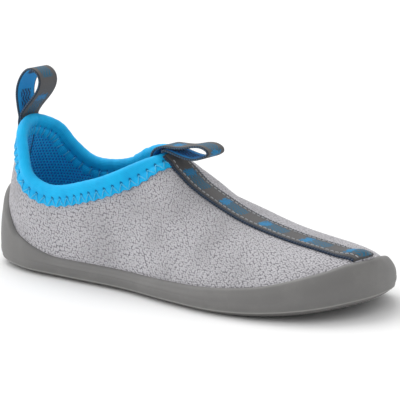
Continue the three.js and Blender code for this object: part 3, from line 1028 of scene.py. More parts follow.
@dataclass(frozen=True)
class Pressed:
    """Plain sheet material with a fine broken grain, such as fibre board or foam."""

    name: str
    tone: Triple
    # Painted shade in the pits, and the darker random cloud.
    dark: Triple
    grain: float
    rough: float = 0.9

    def material(self) -> bpy.types.Material:
        """Grain of small pits, with painted shade in them.

        Returns:
            The material.
        """
        shader = Shader(self.name, {"Specular IOR Level": 0.2})
        place = shader.solid()
        pits = shader.grains(place, self.grain)
        cloud = shader.noise(place, 6.0, 4.0)
        # Painted shade: the middles of the pits are tinted dark; the cloud adds random tone.
        light = pits.step(0.05, 0.6) * 0.7 + cloud * 0.3
        base = shader.tint(colour(*self.dark), colour(*self.tone), light)
        return shader.finish(base, self.rough, pits.step(0.0, 0.5), 0.15)


@dataclass(frozen=True)
class StudioFloor:
    """Plain pale floor."""

    tone: Triple = (247, 247, 247)
    cloud: Triple = (244, 244, 244)

    def material(self) -> bpy.types.Material:
        """Matt, all but even.

        Returns:
            The material.
        """
        shader = Shader("studio_floor", {"Specular IOR Level": 0.1})
        cloud = shader.noise(shader.solid(), 300.0, 1.0)
        base = shader.tint(colour(*self.tone), colour(*self.cloud), cloud * 0.4)
        return shader.finish(base, 0.9, None, 0.0)


# ---------------------------------------------------------------- pieces
def ease_toe(rows: Array) -> Array:
    """Rows of stations round the shoe, with the point at the middle of the toe rounded.

    Args:
        rows: Points of all stations, as ring gives them.

    Returns:
        The same rows, blended along the shoe near the toe.
    """
    half = len(rows) // 2
    from_tip = np.abs(np.arange(len(rows)) / half - 1)
    weight = 1 - smooth(0.015, 0.055, from_tip)
    return mix(rows, soften(rows, 0.013 * half, True), weight[:, None, None])


def flat_of(points: Array) -> Array:
    """Flat places of a grid: lengths along its middle column and up each row.

    Args:
        points: The grid, in millimetres.

    Returns:
        Two lengths for each point.
    """
    along = Line(points[:, points.shape[1] // 2]).reached
    up = np.stack([Line(row).reached for row in points])
    return np.stack([np.broadcast_to(along[:, None], up.shape), up], axis=-1)


def settle(piece: bpy.types.Object, finish: Finish, slot: str, *nodes: str) -> bpy.types.Object:
    """Finish a piece that is fixed to the shoe.

    Args:
        piece: The piece.
        finish: What it is made of.
        slot: The record's slot for it. Not used.
        nodes: Nodes of the frame that it stands for.

    Returns:
        The piece.
    """
    piece.data.materials.append(finish.material())
    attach(piece, SHOE)
    if nodes:
        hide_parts(*nodes)
    return piece


@dataclass
class Shell:
    """A fabric shell that follows the skin of the shoe, from under the rubber to the collar."""

    depth: float  # how far its outer face lies under the skin
    thickness: float
    stations: int = 230
    rows: int = 60
    tuck: float = 5.0  # how far it reaches down behind the rubber
    wave: float = 0.16  # height of the slow waves of the cloth
    pucker: float = 0.24  # and of the puckers beside the stitches
    pucker_width: float = 11.5  # how far below the edge the puckers lie
    grid: Array | None = None

    def low(self, side: int, f: Array) -> Array:
        """Fractions of the way up the skin where the shell starts."""
        return LAST.rise_to(side, f, LAST.wall(f) - self.tuck)

    def relief(self, side: int, f: Array, points: Array) -> Array:
        """Softness of the cloth: slow waves, and puckers beside the stitches of the collar.

        Args:
            side: OUTER or INNER.
            f: Fractions of the way from the heel to the toe.
            points: The smooth skin there.

        Returns:
            How far out each point goes.
        """
        x, y, z = (points[..., k] for k in range(3))
        waves = self.wave * np.sin(x / 13 + y / 12) * np.sin(z / 9 + x / 31)
        below = np.linalg.norm(points - points[:, -1:], axis=-1)
        along = LAST.lines["rim"][side].length * np.minimum(2 * f, 1)
        ripple = self.pucker * np.cos(2 * np.pi * along / STITCH)
        puckers = ripple * bell(below - self.pucker_width, 4.0)
        return waves + puckers * (1 - smooth(0.46, 0.5, f))

    def face(self, depth: float) -> Array:
        """One face of the shell, once round the shoe.

        Args:
            depth: How far it lies under the skin.

        Returns:
            Its grid of points.
        """
        def rows(side: int, f: Array) -> Array:
            """Points of one side.

            Args:
                side: OUTER or INNER.
                f: A column of fractions of the way from the heel to the toe.

            Returns:
                One row of points for each fraction.
            """
            low = self.low(side, f)
            top = mix(0.988, 1, smooth(0.42, 0.5, f))
            v = low + (top - low) * np.linspace(0, 1, self.rows)
            points = LAST.point(side, f, v)
            relief = self.relief(side, f, points)
            return points + LAST.normal(side, f, v) * (relief - depth)[..., None]

        grid, half = ease_toe(ring(self.stations, rows)), self.stations
        grid[[0, half], :, 1] = 0
        crest = np.arange(half // 2, half + 1)
        grid[crest, -1] = (grid[crest, -1] + grid[2 * half - crest, -1]) / 2 * [1, 0, 1]
        grid[2 * half - crest, -1] = grid[crest, -1]
        return grid

    def make(self, name: str) -> bpy.types.Object:
        """Closed shell with its edges.

        Args:
            name: Name of the piece.

        Returns:
            The object.
        """
        outer, inner = self.face(self.depth), self.face(self.depth + self.thickness)
        self.grid = outer
        half = self.stations
        at_rim = np.abs(np.arange(2 * half) + 0.5 - half) > half / 2
        parts = []
        for rows in (slice(0, half + 1), slice(half, None)):
            front, back, rim = outer[rows], inner[rows], at_rim[rows]
            if rows.start:
                front, back = np.concatenate([front, outer[:1]]), np.concatenate([back, inner[:1]])
                front, back, rim = front[::-1], back[::-1], rim[::-1]
            flat = flat_of(front)
            parts += [Patch(front, flat), Patch(back, flat, flip=True),
                      Patch(np.stack([front[:, 0], back[:, 0]], axis=1)),
                      Patch(np.stack([front[:, -1], back[:, -1]], axis=1), keep=rim[:half])]
        return build(name, parts)


@dataclass
class Upper(Shell):
    """Pile-faced neoprene, one shell for both halves."""

    depth: float = 0.0
    thickness: float = 2.4
    cut: tuple[float, float] = (0.235, 0.235)  # the cloth it is cut from, in metres

    def dress(self) -> bpy.types.Object:
        """Build it and give it its pile.

        Returns:
            The object.
        """
        piece = settle(self.make("neoprene_upper"), Pile(), "pile", "upper_outer_side", "upper_inner_side")
        return piece

    def area(self) -> float:
        """Area of the cut cloth.

        Returns:
            Square metres.
        """
        closed = np.concatenate([self.grid, self.grid[:1]])
        across = closed[1:, :-1] - closed[:-1, :-1]
        up = closed[:-1, 1:] - closed[:-1, :-1]
        return float(np.linalg.norm(np.cross(across, up), axis=-1).sum()) / 1e6


@dataclass
class Lining(Upper):
    """Blue hole mesh inside the upper."""

    depth: float = 2.5
    thickness: float = 0.9
    cut: tuple[float, float] = (0.25, 0.235)
    seam_height: float = 0.54
    start: float = 9.0  # how far above the tread it starts

    def low(self, side: int, f: Array) -> Array:
        """It starts just above the board."""
        return LAST.rise_to(side, f, LAST.tread(LAST.point(side, f, f * 0)[..., 0]) + self.start)

    def relief(self, side: int, f: Array, points: Array) -> Array:
        """A ridge where it is sewn at the heel."""
        return self.seam_height * bell(points[..., 1], 0.9) * (f < 0.1)

    def dress(self) -> bpy.types.Object:
        """Build it and give it its mesh.

        Returns:
            The object.
        """
        piece = settle(self.make("mesh_lining"), HoleMesh(), "mesh", "lining_outer_side",
                       "lining_inner_side")
        self.area()
        return piece


@dataclass
class CupSole:
    """Rubber cup sole with a rounded lip, a moulded line round its foot and a wavy tread."""

    stations: int = 260
    gap: float = 0.12
    wall: float = 3.25  # thickness of the side wall low down
    lip: float = 2.7  # and at the start of its rounded top
    lip_round: float = 2.4
    belly: float = 0.35
    edge_radius: float = 7.0
    line_height: float = 0.55
    line_width: float = 7.0  # in degrees of the rounding
    line_angle: float = 36.0  # where the line runs on the rounding, from level
    inside_rows: int = 6
    lip_rows: int = 9
    wall_rows: int = 13
    edge_rows: int = 25
    floor_start: float = 6.4  # height above the tread at which the inside of the wall starts
    groove_pitch: float = 8.5
    groove_depth: float = 1.3
    groove_wave: float = 3.2  # how far the grooves swing along the shoe
    groove_wave_length: float = 21.0
    grooved: tuple[float, float] = (-117.0, 111.0)  # between where the tread is grooved
    shank: tuple[float, float] = (-52.0, -10.0)  # and where it is bare
    fade: tuple[float, float] = (5.0, 6.0)  # over what length grooves end there
    border: tuple[float, float] = (2.5, 5.0)  # width of the smooth border, and with its slope
    tread_columns: int = 120
    floor_columns: int = 12

    def side(self, side: int, f: Array) -> Array:
        """Sections of the rubber, from the floor inside over the lip and down to the tread.

        Args:
            side: OUTER or INNER.
            f: A column of fractions of the way from the heel to the toe.

        Returns:
            One row of points for each fraction.
        """
        top = LAST.wall(f)
        widest = LAST.lines["outline"][side](f[:, 0])
        tread = LAST.tread(widest[:, 0])[:, None]
        low = tread + self.edge_radius
        turn = np.linspace(0, np.pi / 2, self.lip_rows)
        drop = self.lip_round * (1 - np.cos(turn))
        thick = self.lip * np.sin(turn)
        t = np.linspace(0, 1, self.wall_rows + 1)[1:]
        straight = mix(top - self.lip_round, low, t)
        heights = np.concatenate([top - drop, straight], axis=1)
        belly = self.belly * np.sin(np.pi * t)
        thickness = np.concatenate([thick, mix(self.lip, self.wall, smooth(0, 1, t)) + belly])
        v = LAST.rise_to(side, f, heights)
        skin, normal = LAST.point(side, f, v), LAST.normal(side, f, v)
        outer = skin + normal * (self.gap + thickness)[None, :, None]
        out = LAST.outward(side, f).reshape(len(f), 1, 3)
        outer[:, -1] = widest + np.stack([0 * low, 0 * low, low], axis=-1)[:, 0]
        angle = np.linspace(0, np.pi / 2, self.edge_rows + 1)[1:]
        line = bell(np.degrees(angle) - self.line_angle, self.line_width)
        radius = self.edge_radius + self.line_height * line
        inset = self.edge_radius - radius * np.cos(angle)
        bottom = widest[:, None] - out * inset[None, :, None]
        bottom[..., 2] = LAST.tread(bottom[..., 0]) + self.edge_radius - radius * np.sin(angle)
        bottom[..., 2] = np.maximum(bottom[..., 2], LAST.tread(bottom[..., 0]))
        inner_heights = mix(tread + self.floor_start, top, np.linspace(0, 1, self.inside_rows))
        inner_v = LAST.rise_to(side, f, inner_heights)
        inner = LAST.point(side, f, inner_v) + LAST.normal(side, f, inner_v) * self.gap
        inner[:, 0, 2] = LAST.tread(inner[:, 0, 0]) + LAST.floor_thickness
        return np.concatenate([inner, outer, bottom], axis=1)

    def tread(self, line: Array) -> Array:
        """Underside, with wavy grooves, a smooth border and a bare shank.

        Args:
            line: Its border, once round the shoe.

        Returns:
            Its grid.
        """
        grid = between(line, self.tread_columns)
        x, y = grid[..., 0], grid[..., 1]
        outer, inner = grid[:, :1, 1], grid[:, -1:, 1]
        border = smooth(*self.border, np.minimum(y - outer, inner - y))
        (heel, toe), (back, front), (fade, shank_fade) = self.grooved, self.shank, self.fade
        ends = smooth(heel, heel + fade, x) * (1 - smooth(toe - fade, toe, x))
        shank = 1 - smooth(back, back + shank_fade, x) * (1 - smooth(front - shank_fade, front, x))
        swing = self.groove_wave * np.sin(2 * np.pi * y / self.groove_wave_length)
        phase = (x + swing) / self.groove_pitch
        groove = smooth(0.24, 0.14, np.abs(phase % 1 - 0.5))
        split = smooth(1.5, 0.8, np.abs(y - 0.02 * x)) * (x > front)
        depth = np.maximum(groove, split) * border * ends * shank * self.groove_depth
        grid[..., 2] = np.minimum(LAST.tread(x), grid[..., 2] + 9) + depth
        grid[:, [0, -1]] = between(line, 2)
        return grid

    def plain(self, grid: Array) -> Patch:
        """Patch without a moulded line."""
        return Patch(grid, np.zeros((grid.shape[0], grid.shape[1], 2)))

    def line_column(self) -> float:
        """Column of the side section in which the line runs."""
        before = self.inside_rows + self.lip_rows + self.wall_rows
        return before + self.edge_rows * self.line_angle / 90 - 1

    def dress(self) -> bpy.types.Object:
        """Build it and give it its rubber.

        Returns:
            The object.
        """
        section = ease_toe(ring(self.stations, self.side))
        section[[0, self.stations], :, 1] = 0
        piece = build("cup_sole", [
            Patch(section, closed=True),
            self.plain(self.tread(section[:, -1])),
            self.plain(between(section[:, 0], self.floor_columns)),
        ], sharp=60)
        return settle(piece, MouldedRubber(line_column=self.line_column()), "rubber", "outsole")


@dataclass
class Footbed:
    """Loose contoured footbed on the sewn-in board."""

    stations: int = 120
    columns: int = 44
    base: float = 11.5
    thickness: float = 1.4
    cup: float = 5.0  # how far its border rises round the heel
    border: float = 0.8  # and round the rest
    arch: float = 3.2
    inset: float = 4.1  # how far its border lies inside the skin

    def edge(self, side: int, f: Array) -> Array:
        """Border of the footbed at the height of its top.

        Args:
            side: OUTER or INNER.
            f: A column of fractions of the way from the heel to the toe.

        Returns:
            One point for each fraction, in a column.
        """
        level = LAST.tread(LAST.point(side, f, f * 0)[..., 0]) + self.base + self.thickness
        v = LAST.rise_to(side, f, level)
        normal = LAST.normal(side, f, v)
        normal[..., 2] = 0
        return LAST.point(side, f, v) - unit(normal) * self.inset

    def surface(self, line: Array, lift: float) -> Array:
        """Dished grid across the footbed.

        Args:
            line: Its border, once round the shoe.
            lift: Height above its underside.

        Returns:
            The grid.
        """
        grid = between(line, self.columns)
        w, f = np.linspace(0, 1, self.columns)[None], np.linspace(0, 1, len(grid))[:, None]
        rim = np.abs(2 * w - 1) ** 5
        toe_end, heel_end = smooth(0.9, 1.0, f), 1 - smooth(0.0, 0.1, f)
        rise = np.maximum(np.maximum(rim, toe_end * 0.6), heel_end)
        height = mix(self.cup, self.border, smooth(0.1, 0.45, f)) * rise
        arch = self.arch * bell(f - 0.42, 0.14) * smooth(0.55, 1.0, w)
        grid[..., 2] = LAST.tread(grid[..., 0]) + self.base + lift + height + arch
        return grid

    def dress(self) -> bpy.types.Object:
        """Build it and give it its cloth.

        Returns:
            The object.
        """
        line = ease_toe(ring(self.stations, self.edge))[:, 0]
        line[[0, self.stations], 1] = 0
        top, bottom = self.surface(line, self.thickness), self.surface(line, 0.0)
        walls = [Patch(np.stack([top[:, k], bottom[:, k]], axis=1)) for k in (0, -1)]
        piece = build("footbed_cloth", [Patch(top), Patch(bottom, flip=True), *walls])
        settle(piece, FootbedCloth(), "footbed_cloth", "footbed_cover")
        return piece


@dataclass
class CollarTape:
    """Elastic tape rolled over the edge of the opening, and the stitches that hold it."""

    upper: Array
    lining: Array
    stations: int = 420
    wall: float = 3.4  # thickness of upper and lining together
    width: float = 9.6  # how far the tape reaches down each face
    roll: Triple = (3.55, 3.5, 1.7)  # half widths of the roll, and where its middle lies
    tape: float = 1.05  # thickness of the tape
    cut_width: float = 29.0  # width of the tape laid flat
    hole_width: float = 5.3  # how far down the needle holes lie
    join: tuple[float, float] = (0.664, 0.71)  # where its ends overlap, as shares of the ring
    join_height: float = 0.75  # how much higher the overlap is
    swell: float = 1.72  # height of the tape beside the roll
    thread: float = 0.34
    inside_gather: float = 1.7  # how much stronger the stitches gather the tape inside
    flank_widths: tuple[float, ...] = (9.6, 9.3, 8.8, 8.2, 7.5, 6.8, 6.2, 5.7, 5.3, 4.9, 4.4, 3.8, 3.1,
                                       2.4)
    roll_columns: int = 17
    tree: BVHTree | None = None

    def __post_init__(self) -> None:
        """Measure the edge of the opening and what lies under the tape."""
        rim = LAST.lines["rim"]
        dense = np.concatenate([rim[OUTER](np.linspace(0, 1, 800)),
                                rim[INNER](np.linspace(1, 0, 800))[1:]])
        line = Line(dense)
        self.length = line.length
        self.count = round(self.length / STITCH)
        share = np.arange(self.stations) / self.stations
        self.top = line(share)
        reach = rim[OUTER].length / self.length
        f = np.where(share < reach, share / reach, (1 - share) / (1 - reach)) / 2
        sides = np.where(share < reach, OUTER, INNER)
        ones = np.ones((self.stations, 1))
        by_side = {side: LAST.normal(side, f[:, None], ones)[:, 0] for side in (OUTER, INNER)}
        normal = np.where((sides == OUTER)[:, None], by_side[OUTER], by_side[INNER])
        self.normal = unit(soften(normal, 3.0, True))
        along = unit(np.roll(self.top, -1, axis=0) - np.roll(self.top, 1, axis=0))
        self.down = unit(np.cross(along, self.normal))
        self.widths = np.linspace(0, 11, 8)
        trees = {1: [tree_of(self.upper, True)], -1: [tree_of(self.lining, True)]}
        self.under = {}
        for sign, surface in trees.items():
            start = self.top - self.normal * (self.wall if sign < 0 else 0)
            heights = [height_on(surface, start + self.down * w, self.normal * sign) for w in self.widths]
            self.under[sign] = soften(np.stack(heights, axis=1), 2.5, True)

    def at(self, values: Array, place: Array) -> Array:
        """Values of the ring between its stations.

        Args:
            values: One value or row of values for each station.
            place: Where along the ring, counted in stitches.

        Returns:
            One value or row of values for each place.
        """
        index = (np.asarray(place, float) / self.count * self.stations) % self.stations
        low = index.astype(int) % self.stations
        share = index - np.floor(index)
        share = share.reshape(share.shape + (1,) * (values.ndim - 1))
        return values[low] * (1 - share) + values[(low + 1) % self.stations] * share

    def spot(self, sign: int, place: Array, width: Array, lift: Array) -> Array:
        """Points over the outside (sign 1) or the inside (sign -1) of the collar.

        Args:
            sign: Which face.
            place: Where along the ring, counted in stitches.
            width: How far below the edge.
            lift: How far above what lies there.

        Returns:
            One point for each place.
        """
        under = self.at(self.under[sign], place)
        column = np.clip(width, 0, self.widths[-1]) / self.widths[1]
        low = np.minimum(column.astype(int), len(self.widths) - 2)
        share = column - low
        rows = np.arange(len(under))
        height = under[rows, low] * (1 - share) + under[rows, low + 1] * share
        normal, down, top = (self.at(v, place) for v in (self.normal, self.down, self.top))
        base = top - normal * (self.wall if sign < 0 else 0)
        return base + down * width[:, None] + normal * (sign * (height + lift))[:, None]

    def section(self, thinner: float) -> Array:
        """Points of one face of the tape all round: outside, over the roll and down the inside.

        Args:
            thinner: How far the face lies under the front of the tape.

        Returns:
            One row of points for each station.
        """
        place = np.arange(self.stations) * self.count / self.stations
        share = place / self.count
        start, end = self.join
        lapped = smooth(start, start + 0.003, share) * (1 - smooth(end - 0.003, end, share))
        raised = lapped * self.join_height - thinner
        phase = 2 * np.pi * place

        def flank(sign: int, width: float) -> Array:
            """One column of the outside (sign 1) or of the inside (sign -1).

            Args:
                sign: Which face of the collar.
                width: How far below the edge the column lies.

            Returns:
                One point for each station.
            """
            gather = np.cos(phase) * (1.0 if sign > 0 else self.inside_gather)
            groove = bell(width - self.hole_width, 0.75)
            swell = self.swell - 0.5 * smooth(2.2, 6.0, width) - 0.25 * smooth(8.2, 9.6, width)
            lift = (swell - groove * (0.30 + 0.34 * (0.5 + 0.5 * gather))
                    - 0.2 * gather * smooth(5.4, 7.5, width) - 0.07 * gather * bell(width - 3, 2.0))
            edge = width - 0.42 * gather * smooth(7.0, 9.6, width)
            return self.spot(sign, place, edge, np.maximum(lift + raised, 0.08 if thinner else 0.25))

        half_out, half_up, middle = self.roll
        columns = [flank(1, width) for width in self.flank_widths]
        at_middle = {sign: np.array([np.interp(middle, self.widths, row) for row in self.under[sign]])
                     for sign in (1, -1)}
        gather = 1 - 0.012 * np.cos(phase)
        for angle in np.linspace(0, np.pi, self.roll_columns):
            out = (half_out + raised) * gather * np.cos(angle)
            shift = at_middle[1] * (1 + np.cos(angle)) / 2 - at_middle[-1] * (1 - np.cos(angle)) / 2
            up = (half_up + raised) * gather * np.sin(angle)
            columns.append(self.top + self.normal * (out + shift - self.wall / 2)[:, None]
                           + self.down * (middle - up)[:, None])
        columns += [flank(-1, width) for width in self.flank_widths[::-1]]
        return np.stack(columns, axis=1)

    def dress(self) -> bpy.types.Object:
        """Build the tape and give it its knit.

        Returns:
            The object.
        """
        front, back = self.section(0.0), self.section(self.tape)
        self.tree = tree_of(front, True)
        loop = np.concatenate([front, back[:, ::-1]], axis=1)
        rows = len(loop)
        along = np.arange(rows + 1) * self.count / rows * STITCH
        across = flat_of(front)[..., 1].mean(axis=0)
        across = across - across[len(across) // 2]
        across = across * (self.width / np.abs(across[[0, -1]]).mean())
        round_tape = np.concatenate([across, across[::-1], across[:1]])
        flat = np.stack(np.meshgrid(along, round_tape, indexing="ij"), axis=-1)
        piece = build("collar_tape", [Patch(loop, flat, closed=True, looped=True)], sharp=70)
        holes = abs(across[self.flank_widths.index(self.hole_width)])
        settle(piece, ElasticTape(STITCH, float(holes)), "binding", "collar_binding")
        self.cut_width / 1000
        return piece

    def stitches(self) -> list[bpy.types.Object]:
        """Zigzag stitches on the outside, and single steep ones on the inside.

        Returns:
            Two objects, the outside first.
        """
        made = []
        t = np.linspace(0, 1, 8)
        arch = np.sin(np.pi * t)
        rows = ((1, "collar_stitches_outside", 0.5), (-1, "collar_stitches_inside", 0.12))
        for sign, name, slant in rows:
            lines = []
            for k in range(self.count):
                legs = ((k, k + slant), (k + slant, k + 1)) if sign > 0 else ((k, k + slant),)
                for start, end in legs:
                    down = start == k
                    width = mix(self.hole_width, self.width + 0.35, t if down else 1 - t)
                    place = mix(float(start), float(end), t)
                    gather = np.cos(2 * np.pi * place)
                    level = 1.18 - 0.28 * smooth(8.0, 9.7, width) - 0.2 * gather * smooth(5.4, 7.5, width)
                    lift = level + 0.28 * arch - 0.5 * (1 - arch) ** 6
                    lines.append(self.spot(sign, place, width, lift))
            thread = SewingThread(name, (96, 220, 255), (30, 166, 226))
            made.append(settle(strands(name, lines, self.thread), thread, "binding"))
        return made


@dataclass
class Ribbon:
    """Woven tape along the middle plane of the shoe."""

    width: float = 15.0
    thickness: float = 1.2
    columns: int = 15
    thread: float = 0.27  # radius of the sewing thread
    bulge: float = 0.35  # roundness of the edges
    over: float = 0.12  # height of the thread above the face
    under: float = 0.3  # and its depth below it between stitches
    loop_yarn: float = 0.34  # radius of the yarns along the edges of a loop

    def across(self) -> Array:
        """Places of the columns across the tape."""
        return np.linspace(-self.width / 2, self.width / 2, self.columns)

    def sweep(self, middle: Array, lift: float) -> Array:
        """Grid along a line of the middle plane.

        Args:
            middle: Points of the line.
            lift: How far the grid lies to the left of the line's travel.

        Returns:
            The grid.
        """
        along = unit(np.gradient(middle, axis=0))
        normal = np.stack([-along[:, 2], 0 * along[:, 0], along[:, 0]], axis=-1)
        rows = np.repeat((middle + normal * lift)[:, None], self.columns, axis=1)
        rows[..., 1] += self.across()
        return rows

    def tape(self, name: str, front: Array, back: Array, start: float) -> bpy.types.Object:
        """Tape between its front and its back, with soft edges.

        Args:
            name: Name of the piece.
            front: Grid of its front.
            back: Grid of its back.
            start: Place of its first row in the woven pattern.

        Returns:
            The object, in its two materials.
        """
        middle = front[:, self.columns // 2]
        along = start + Line(middle).reached
        flat = np.stack(np.meshgrid(along, self.across(), indexing="ij"), axis=-1)
        parts = [Patch(front, flat), Patch(back, flat, flip=True, material=1)]
        for k, way in ((0, -1), (-1, 1)):
            bulge = (front[:, k] + back[:, k]) / 2
            bulge[:, 1] += way * self.bulge
            lap = np.stack([front[:, k], bulge, back[:, k]], axis=1)
            parts.append(Patch(lap, np.repeat(flat[:, k][:, None], 3, axis=1)))
            end = (front[k] + back[k]) / 2
            end[[0, -1], 1] += (-self.bulge, self.bulge)
            parts.append(Patch(np.stack([front[k], end, back[k]], axis=0)))
        piece = build(name, parts, sharp=70)
        for face, tones in TAPE_TONES.items():
            piece.data.materials.append(WovenTape(face, *tones).material())
        return piece

    def selvedges(self, name: str, front: Array, back: Array, size: float,
                  pitch: float = 1.6) -> bpy.types.Object:
        """Dark looped yarns along both edges, paler on the smaller yarns of the loops, a painted-lighter
        copy for the light that reaches into the loops.

        Args:
            name: Name of the piece.
            front: Grid of the tape's front.
            back: Grid of its back.
            size: Radius of the yarns.
            pitch: From one loop to the next.

        Returns:
            The object.
        """
        lines = [Line((front[:, k] + back[:, k]) / 2) for k in (0, -1)]
        count = round(lines[0].length / pitch * 8)
        turn = np.linspace(0, 2 * np.pi * lines[0].length / pitch, count)
        paths = []
        for line, way in zip(lines, (-1, 1)):
            path = line(np.linspace(0, 1, count))
            path[:, 1] += way * (0.05 + 0.3 * size * np.sin(turn))
            paths.append(path)
        piece = strands(name, paths, size * (1 + 0.22 * np.sin(turn)), 7)
        # Painted light: the loops' edge yarns get paler copies of the strap's edge yarn colours, for the
        # light that reaches into the loops.
        loop_yarn_painted_lighter = size <= self.loop_yarn
        tones = ((66, 104, 132), (36, 64, 88)) if loop_yarn_painted_lighter else ((40, 66, 96), (18, 30, 46))
        piece.data.materials.append(SewingThread(name, *tones).material())
        return piece

    def seam(self, name: str, runs: Sequence[tuple[Array, Array]]) -> bpy.types.Object:
        """Stitches in light thread.

        Args:
            name: Name of the piece.
            runs: For each stitch, its line on the cloth and the same line under it.

        Returns:
            The object.
        """
        dip = (1 - np.sin(np.pi * np.linspace(0, 1, 7)))[:, None] ** 4
        piece = strands(name, [high * (1 - dip) + low * dip for high, low in runs], self.thread)
        piece.data.materials.append(SewingThread(name, (206, 208, 212), (120, 122, 128)).material())
        return piece

    def dashes(self, high: Array, low: Array, rows: tuple[float, ...], start: float, end: float,
               pitch: float = 3.0, length: float = 2.2) -> list[tuple[Array, Array]]:
        """Stitches in rows along a tape, for seam.

        Args:
            high: Grid a little above its face.
            low: Grid a little below it.
            rows: Places of the rows across it.
            start: Where they start, in millimetres from its first row.
            end: Where they end.
            pitch: From one stitch to the next.
            length: Length of a stitch.

        Returns:
            Their lines, above and below the face.
        """
        runs = []
        for row in rows:
            column = (row + self.width / 2) / self.width * (self.columns - 1)
            low_column, share = int(column), column - int(column)
            upper, lower = (Line(mix(g[:, low_column], g[:, low_column + 1], share)) for g in (high, low))
            for at in np.arange(start, min(end, upper.length) - length, pitch):
                t = np.linspace(at, at + length, 7) / upper.length
                runs.append((upper(t), lower(t)))
        return runs

    def tack(self, high: Array, low: Array, start: float, end: float, half: float = 5.6,
             count: int = 12) -> list[tuple[Array, Array]]:
        """Close zigzag across a tape, which holds a loop down.

        Args:
            high: Grid a little above its face.
            low: Grid a little below it.
            start: Where it starts, in millimetres from the first row.
            end: Where it ends.
            half: How far it reaches to each side of the middle.
            count: Number of its slanted stitches.

        Returns:
            Their lines, above and below the face.
        """
        grids = [[Line(grid[:, k]) for k in range(self.columns)] for grid in (high, low)]
        turns = np.linspace(-half, half, count + 1)
        runs = []
        for k in range(count):
            span = np.linspace(turns[k], turns[k + 1], 7)
            at = np.linspace(start, end, 7) if k % 2 == 0 else np.linspace(end, start, 7)
            both = []
            for lines in grids:
                points = []
                for y, along in zip(span, at):
                    column = (y + self.width / 2) / self.width * (self.columns - 1)
                    low_column, share = int(column), column - int(column)
                    a, b = lines[low_column], lines[min(low_column + 1, self.columns - 1)]
                    points.append(mix(a(along / a.length), b(along / b.length), share))
                both.append(np.array(points))
            runs.append((both[0], both[1]))
        return runs


